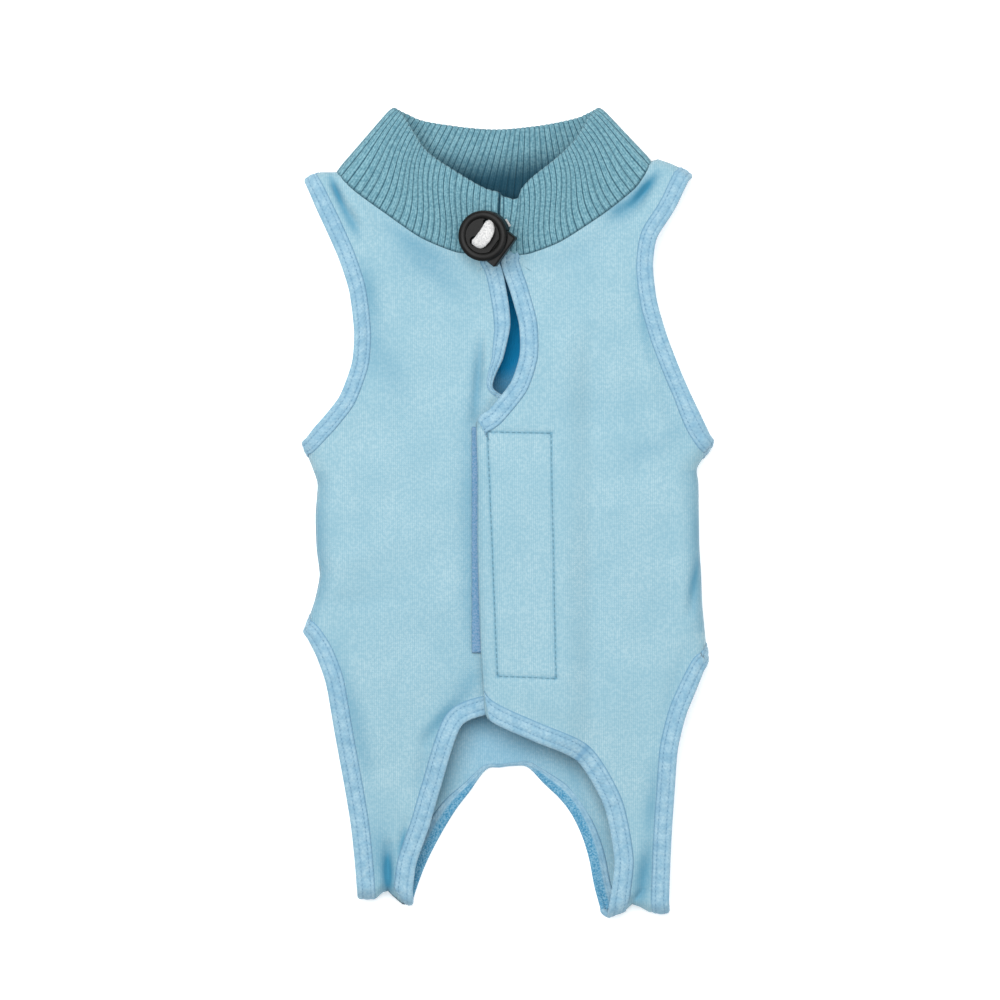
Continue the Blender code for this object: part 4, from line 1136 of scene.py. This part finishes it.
def gatherStitches(line, normals):
    pitch = bindings["pitch"]
    half = pitch * bindings["stitchShare"] / 2
    reach = reachAlong(line)
    for k in range(int(reach[-1] / pitch)):
        at = (k + 0.5) * pitch
        stitchSpots.append((pointsAt(at - half, reach, line), pointsAt(at + half, reach, line),
                            unit(pointsAt(at, reach, normals)), bindings["stitchSize"]))


makeBinding("left_arm_binding", "leftArm", "left_armhole_binding")
makeBinding("right_arm_binding", "rightArm", "right_armhole_binding")
makeBinding("left_leg_edge_binding", "leftLeg", "left_leg_binding")
makeBinding("right_leg_edge_binding", "rightLeg", "right_leg_binding")
makeBinding("keyhole_left_edge_binding", "keyLeft", "keyhole_left_binding")
makeBinding("keyhole_right_edge_binding", "keyRight", "keyhole_right_binding")
makeBinding("crotch_edge_binding", "crotch", "crotch_binding", 1.0, bindings["crotchCreaseShades"])
print("bindings made")


# one short stitch, copied along every row
def stitchTemplate():
    bpy.ops.object.select_all(action="DESELECT")
    bpy.ops.mesh.primitive_uv_sphere_add(segments=6, ring_count=5, radius=1)
    ball = bpy.context.object
    points = np.array([vertex.co[:] for vertex in ball.data.vertices])
    faces = [tuple(face.vertices) for face in ball.data.polygons]
    bpy.data.objects.remove(ball, do_unlink=True)
    return points, faces


def makeStitches(name, spots, material):
    points, faces = stitchTemplate()
    allPoints = []
    allFaces = []
    for start, end, normal, size in spots:
        centre = (start + end) / 2
        way = end - start
        length = np.linalg.norm(way) / 2
        way = way / max(length * 2, 1e-9)
        aside = unit(np.cross(normal, way))
        up = np.cross(way, aside)
        base = len(allPoints)
        for point in points:
            allPoints.append(centre + way * point[2] * length + aside * point[0] * size
                             + up * (point[1] * size * 0.55 + size * 0.12))
        allFaces.extend(tuple(index + base for index in face) for face in faces)
    mesh = bpy.data.meshes.new(name)
    mesh.from_pydata((np.array(allPoints) + placeShift).tolist(), [], allFaces)
    mesh.update()
    piece = bpy.data.objects.new(name, mesh)
    bpy.context.scene.collection.objects.link(piece)
    piece.data.shade_smooth()
    finishPiece(piece, None, material)


makeStitches("binding_stitches", stitchSpots, stitchThread)
print("stitches made", len(stitchSpots))


def rectangleStitches():
    spots = []
    for start, end in rectangleLines():
        way = end - start
        count = int(np.linalg.norm(way) / rectangle["pitch"])
        for k in range(count):
            pair = []
            for offset in (-0.36, 0.36):
                place = start + way * (k + 0.5 + offset) / count
                at = dressed(plain(place[:1], place[1:], 1), True)[0]
                at[2] += suit["cloth"] / 2 - 0.00026
                pair.append(at)
            spots.append((pair[0], pair[1], np.array([0, 0, 1.0]), rectangle["size"]))
    return spots


makeStitches("rectangle_stitches", rectangleStitches(), seamThread)


# collar: one ring, ribbed on both faces, its ribs swaying like the real knit
collar = {
    "leftTop": [(0, -0.560, 0.997), (1, -0.520, 0.988), (2, -0.465, 0.966), (3, -0.390, 0.941),
                (4, -0.250, 0.917), (4.6, -0.120, 0.898), (5, -0.037, 0.892)],
    "rightTop": [(0, 0.446, 0.997), (1, 0.395, 0.983), (2, 0.330, 0.957), (3, 0.235, 0.934),
                 (3.8, 0.120, 0.911), (4.3, 0.068, 0.897), (4.7, 0.040, 0.884), (5, -0.032, 0.888)],
    "backTop": [(0.00, 0.446, 0.997), (0.08, 0.395, 0.990), (0.16, 0.325, 0.983), (0.35, 0.140, 0.974),
                (0.60, -0.098, 0.970), (0.84, -0.390, 0.979), (0.94, -0.500, 0.989), (1.00, -0.560, 0.997)],
    "wall": 0.0026,
    "puff": 0.0120,
    "round": 0.0100,
    "ribPitch": 0.00265,
    "ribDepth": 0.00050,
    "perRib": 8,
    "levels": 26,
    "sway": 0.0011,
}


def collarEdges():
    steps = np.linspace(0, outline["neckEnd"], 200)
    middleHeight = collar["puff"] / 2 + collar["wall"] / 2 + 0.0001

    def topPoint(x, y, side):
        near = np.minimum(x - placeX(-0.560), placeX(0.446) - x)
        rise = collar["puff"] / 2 * np.sqrt(np.maximum(roundOver(near, collar["round"]), 0))
        return np.stack([x, y, middleHeight + side * rise], -1)

    def tops(rows, keys):
        rows = np.array(rows, float)
        dense = softLine(rows, 400)
        return placeX(np.interp(keys, dense[:, 0], dense[:, 1])), placeY(np.interp(keys, dense[:, 0], dense[:, 2]))

    leftFlat = warpEnds(stationCurve(steps, 4), steps)
    rightFlat = warpEnds(stationCurve(steps, 6), steps)
    bottom = [dressed(plain(leftFlat[:, 0], leftFlat[:, 1], 1), False)]
    top = [topPoint(*tops(collar["leftTop"], steps), 1)]
    bottom.append(dressed(plain(rightFlat[:, 0], rightFlat[:, 1], 1), False)[::-1])
    top.append(topPoint(*tops(collar["rightTop"], steps), 1)[::-1])
    shares = np.linspace(0, 1, 220)[1:-1]
    neckLeft = leftFlat[0]
    neckRight = rightFlat[0]
    line = neckRight[None] * (1 - shares[:, None]) + neckLeft[None] * shares[:, None]
    line[:, 1] -= outline["backNeckDip"] * suit["length"] * np.sin(math.pi * shares) ** 0.8
    bottom.append(plain(line[:, 0], line[:, 1], -1))
    top.append(topPoint(*tops(collar["backTop"], shares), -1))
    return np.vstack(bottom), np.vstack(top), [len(leftFlat), len(leftFlat) + len(rightFlat)]


def makeCollar():
    bottom, top, corners = collarEdges()
    bottom = np.vstack([bottom, bottom[:1]])
    top = np.vstack([top, top[:1]])
    reach = np.concatenate([[0], np.cumsum((np.linalg.norm(np.diff(bottom, axis=0), axis=1)
                                            + np.linalg.norm(np.diff(top, axis=0), axis=1)) / 2)])
    ribs = round(reach[-1] / collar["ribPitch"])
    columns = ribs * collar["perRib"]
    knots = np.linspace(0, reach[-1], columns + 1)[:-1]
    low = pointsAt(knots, reach, bottom)
    high = pointsAt(knots, reach, top)
    along = unit((np.roll(low, -4, 0) - np.roll(low, 4, 0)) + (np.roll(high, -4, 0) - np.roll(high, 4, 0)))
    upward = unit(high - low)
    outward = unit(np.cross(along, upward))
    phase = np.arange(columns) / collar["perRib"] * 2 * math.pi
    sunk = 1 - np.abs(np.cos(phase / 2)) ** 0.55
    butt = np.exp(-(np.abs(knots - reach[corners[0] - 1]) / 0.0006) ** 2)
    frontPart = knots < reach[corners[1] - 1]
    position = knots / reach[corners[1] - 1]
    levels = np.linspace(0, 1, collar["levels"])
    half = collar["wall"] / 2
    thickness = half * np.interp(levels, [0, 0.05, 0.12, 0.9, 0.97, 1.0], [0.62, 0.85, 1.0, 1.0, 0.82, 0.5])
    outer = []
    inner = []
    for level, thick in zip(levels, thickness):
        place = low * (1 - level) + high * level - upward * 0.0006 * (1 - level)
        sway = collar["sway"] * np.sin(2 * math.pi * level) * np.where(frontPart, np.sin(math.pi * position * 2), 0)
        place = place + along * sway[:, None]
        roll = 0.0006 * np.sin(math.pi * level) * np.where(frontPart, 1.0, 0.3)
        place[:, 2] += roll
        depth = collar["ribDepth"] * (sunk * np.interp(level, [0, 0.06, 0.96, 1], [0.25, 1, 1, 0.8]) + butt * 2.2)
        place[:, 2] = np.maximum(place[:, 2], thick + 0.0001)
        outer.append(place + outward * (thick - depth)[:, None])
        inner.append(place - outward * (thick - depth)[:, None])
    crown = high + upward * half * 0.55
    crown[:, 2] = np.maximum(crown[:, 2], half)
    crown = crown - upward * (collar["ribDepth"] * sunk * 0.6)[:, None]
    ring = np.stack(outer + [crown] + inner[::-1], 1)
    ring[..., 2] = np.maximum(ring[..., 2], 0.0001)
    ring = np.concatenate([ring, ring[:, :1]], 1)
    ring = np.concatenate([ring, ring[:1]], 0)
    # across is up the collar in the uv map, so the small stitches follow each rib
    piece = gridMesh("collar_rib", ring, uvScale=(0.052, reach[-1]))
    # painted shade in the ribs' grooves and along the butt seam
    groove = np.clip(np.clip((sunk - 0.40) / 0.35, 0, 1) * 0.92 + butt, 0, 1)
    groove = np.concatenate([groove, groove[:1]])
    addValues(piece, "groove", np.repeat(groove[:, None], ring.shape[1], 1))
    # the back's inner face lies in shade below the front's edge
    upDown = np.concatenate([levels, [1.0], levels[::-1], levels[:1]])
    shade = smooth((0.80 - upDown) / 0.5)[None, :] * np.where(frontPart, 0, 0.92)[:, None]
    shade = np.concatenate([shade, shade[:1]])
    # painted shade: a thin dark line where the collar joins the cloth
    shade = np.maximum(shade, 0.7 * np.exp(-(upDown / 0.012) ** 2)[None, :])
    addValues(piece, "shade", shade)
    closeMesh(piece, gap=0.000003)
    finishPiece(piece, "collar", ribCloth)
    return piece


collarPiece = makeCollar()
print("collar made", len(collarPiece.data.polygons))


# fastening tapes
def makeTape(name, nodeName, area, rise, lapped, material, fuzz):
    left, right, bottom, top = area
    spacing = 0.00045
    xs = np.linspace(placeX(left), placeX(right), int((placeX(right) - placeX(left)) / spacing))
    ys = np.linspace(placeY(bottom), placeY(top), int((placeY(top) - placeY(bottom)) / (spacing * 1.6)))
    x, y = np.meshgrid(xs, ys)
    points = dressed(plain(x, y, 1), lapped)
    points[..., 2] += rise
    loops = np.random.default_rng(5)
    points[..., 2] += loops.uniform(-fuzz, fuzz, x.shape)
    points[..., :2] += loops.uniform(-fuzz, fuzz, x.shape + (2,))
    piece = gridMesh(name, points)
    wallPiece(piece, suit["tape"])
    finishPiece(piece, nodeName, material)
    declareSheet([points])


tapeRise = suit["cloth"] / 2 + suit["gap"] + suit["tape"] / 2
makeTape("loop_strip", "loop_tape", (-0.177, 0.190, 0.325, 0.604), tapeRise, False, loopCloth, 0.00012)
makeTape("hook_strip", "hook_tape", (-0.098, 0.200, 0.325, 0.576), -tapeRise, True, hookCloth, 0.00006)
print("tapes made")

# cord lock keeps its CAD shape
for name in ("cord_lock_housing", "cord_lock_plunger"):
    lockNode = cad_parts[name]
    lockNode.data.materials.clear()
    lockNode.data.materials.append(blackPlastic)

# white elastic cord through the lock
lock = {
    "place": (-0.115, 0.840),
    "tilt": 16,
    "turn": 143,
    "thick": 0.0070,
    "spread": 0.0096,
    "forward": 0.0014,
    "aside": -0.0010,
    "loopHeight": 0.0026,
    "loopBow": 0.0021,
    "loopShift": 0.0007,
    "cord": 0.0034,
    "holeWide": 0.0013,
    "holeShift": -0.0007,
    "flatWide": 0.0030,
    "flatThick": 0.0012,
    "rim": (0.0089, 0.0017, 0.0011),
    "rimBelow": 0.0005,
    "braid": (0.05, 0.55, 3),
    "start": (0.004, 0.857),
}


def lockMatrix():
    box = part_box("cord_lock_housing")
    x = float(placeX(lock["place"][0]))
    y = float(placeY(lock["place"][1]))
    # the CAD's housing is centred on its own place, so its box gives the height
    height = (box[0][2] + box[1][2]) / 2
    return (Matrix.Translation((x, y, height)) @ Matrix.Rotation(-math.radians(lock["tilt"]), 4, "Y")
            @ Matrix.Rotation(math.radians(lock["turn"]), 4, "Z"))


def makeCord():
    place = lockMatrix()
    half = lock["thick"] / 2
    upper = lock["aside"] + lock["spread"] / 2
    lower = lock["aside"] - lock["spread"] / 2
    middleWay = lock["forward"] + lock["holeShift"]
    start = Vector((float(placeX(lock["start"][0])), float(placeY(lock["start"][1])),
                    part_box("drawcord")[0][2] + lock["cord"] / 2))
    route = [start, start.lerp(place @ Vector((lock["forward"], upper, -half - 0.0014)), 0.5)]
    flatness = [0.1, 0.1]
    for height in (-half - 0.0014, -half * 0.5, half * 0.5):
        route.append(place @ Vector((middleWay, upper, height)))
        flatness.append(-0.5)
    for index in range(9):
        angle = math.pi * index / 8
        bow = math.sin(angle)
        route.append(place @ Vector((middleWay - lock["loopBow"] * bow,
                                     lock["aside"] + lock["spread"] / 2 * math.cos(angle) + lock["loopShift"] * bow,
                                     half - 0.0004 + lock["loopHeight"] * bow ** 0.7)))
        flatness.append(bow ** 0.8 if 0 < index < 8 else 0.0)
    for height in (half * 0.5, -half * 0.5, -half - 0.0007):
        route.append(place @ Vector((middleWay, lower, height)))
        flatness.append(-0.5)
    values = np.hstack([np.array([spot[:] for spot in route]), np.array(flatness)[:, None]])
    dense = softLine(values, 260)
    line, flat = dense[:, :3], np.clip(dense[:, 3], 0, 1)
    thin = np.clip(-dense[:, 3] * 2, 0, 1)
    tangent = unit(np.gradient(line, axis=0))
    aside = np.tile(np.array((place.to_3x3() @ Vector((1, 0, 0)))[:]), (len(line), 1))
    aside = unit(aside - tangent * (aside * tangent).sum(-1, keepdims=True))
    up = np.cross(tangent, aside)
    radius = lock["cord"] / 2 * (1 - thin) + lock["holeWide"] * thin
    wide = radius * (1 - flat) + lock["flatWide"] * flat
    low = radius * (1 - flat) + lock["flatThick"] * flat
    braidDepth, braidStep, strands = lock["braid"]
    twist = np.arange(len(line)) * braidStep
    around = 24
    rings = []
    for k in range(around):
        angle = 2 * math.pi * k / around
        braid = 1 + braidDepth * np.sin(twist + strands * angle) * np.sin(twist - strands * angle)
        rings.append(line + aside * (wide * braid * math.cos(angle))[:, None]
                     + up * (low * braid * math.sin(angle))[:, None])
    piece = gridMesh("white_drawcord", np.stack(rings + rings[:1], 1), uvScale=(0.0107, 0.05))
    closeMesh(piece, gap=0.000003, capEnds=True)
    finishPiece(piece, "drawcord", cordWhite)


makeCord()


# the lock's face has a raised round rim
def makeRim():
    place = lockMatrix()
    ringRadius, rimWidth, rimHeight = lock["rim"]
    bpy.ops.object.select_all(action="DESELECT")
    bpy.ops.mesh.primitive_torus_add(major_segments=96, minor_segments=20, major_radius=ringRadius,
                                     minor_radius=rimWidth, location=(0, 0, 0))
    rim = bpy.context.object
    rim.name = "cord_lock_rim"
    turn = place.to_3x3()
    for vertex in rim.data.vertices:
        spot = vertex.co.copy()
        # the lower side stays flat, clear of the plunger's slot
        height = rimHeight if spot.z > 0 else lock["rimBelow"]
        spot.z = spot.z / rimWidth * height + lock["thick"] / 2 - 0.0003
        vertex.co = turn @ spot + place.translation + Vector(placeShift)
    rim.data.shade_smooth()
    finishPiece(rim, None, blackPlastic)


makeRim()
print("cord made")

# stage: pale floor, soft light from above, camera straight down
bpy.ops.object.select_all(action="DESELECT")
bpy.ops.mesh.primitive_plane_add(size=6, location=(0, 0, -0.0002))
floor = bpy.context.object
floor.name = "floor"
floorMaterial, floorTree, floorShader = newMaterial("paleFloor")
setSockets(floorShader, {"Base Color": (0.94, 0.94, 0.94, 1), "Roughness": 0.9, "Specular IOR Level": 0.0,
                         "Emission Color": (1, 1, 1, 1), "Emission Strength": 0.35})
floor.data.materials.append(floorMaterial)

light = {
    "topSize": 1.2,
    "topPower": 19.6,
    "topPlace": (-0.28, 0.36, 1.2),
    "sideSize": 0.8,
    "sidePower": 3.4,
    "sidePlace": (0.8, -0.3, 0.9),
    "sky": 0.40,
}


def areaLight(name, place, size, power):
    data = bpy.data.lights.new(name, "AREA")
    data.energy = power
    data.size = size
    lamp = bpy.data.objects.new(name, data)
    bpy.context.scene.collection.objects.link(lamp)
    lamp.location = place
    lamp.rotation_euler = (-Vector(place)).to_track_quat("-Z", "Y").to_euler()


areaLight("topLight", light["topPlace"], light["topSize"], light["topPower"])
areaLight("sideLight", light["sidePlace"], light["sideSize"], light["sidePower"])
world = bpy.data.worlds.new("studio")
bpy.context.scene.world = world
world.use_nodes = True
world.node_tree.nodes["Background"].inputs[0].default_value = (1, 1, 1, 1)
world.node_tree.nodes["Background"].inputs[1].default_value = light["sky"]

camera = {"place": (-0.00335, 0.0051, 1.2), "width": 0.42015}
cameraData = bpy.data.cameras.new("camera")
cameraData.type = "ORTHO"
cameraData.ortho_scale = camera["width"]
cameraData.clip_end = 10
eye = bpy.data.objects.new("camera", cameraData)
bpy.context.scene.collection.objects.link(eye)
eye.location = camera["place"]
bpy.context.scene.camera = eye
bpy.context.scene.view_settings.view_transform = "Standard"
bpy.context.scene.view_settings.look = "None"
print("stage set")
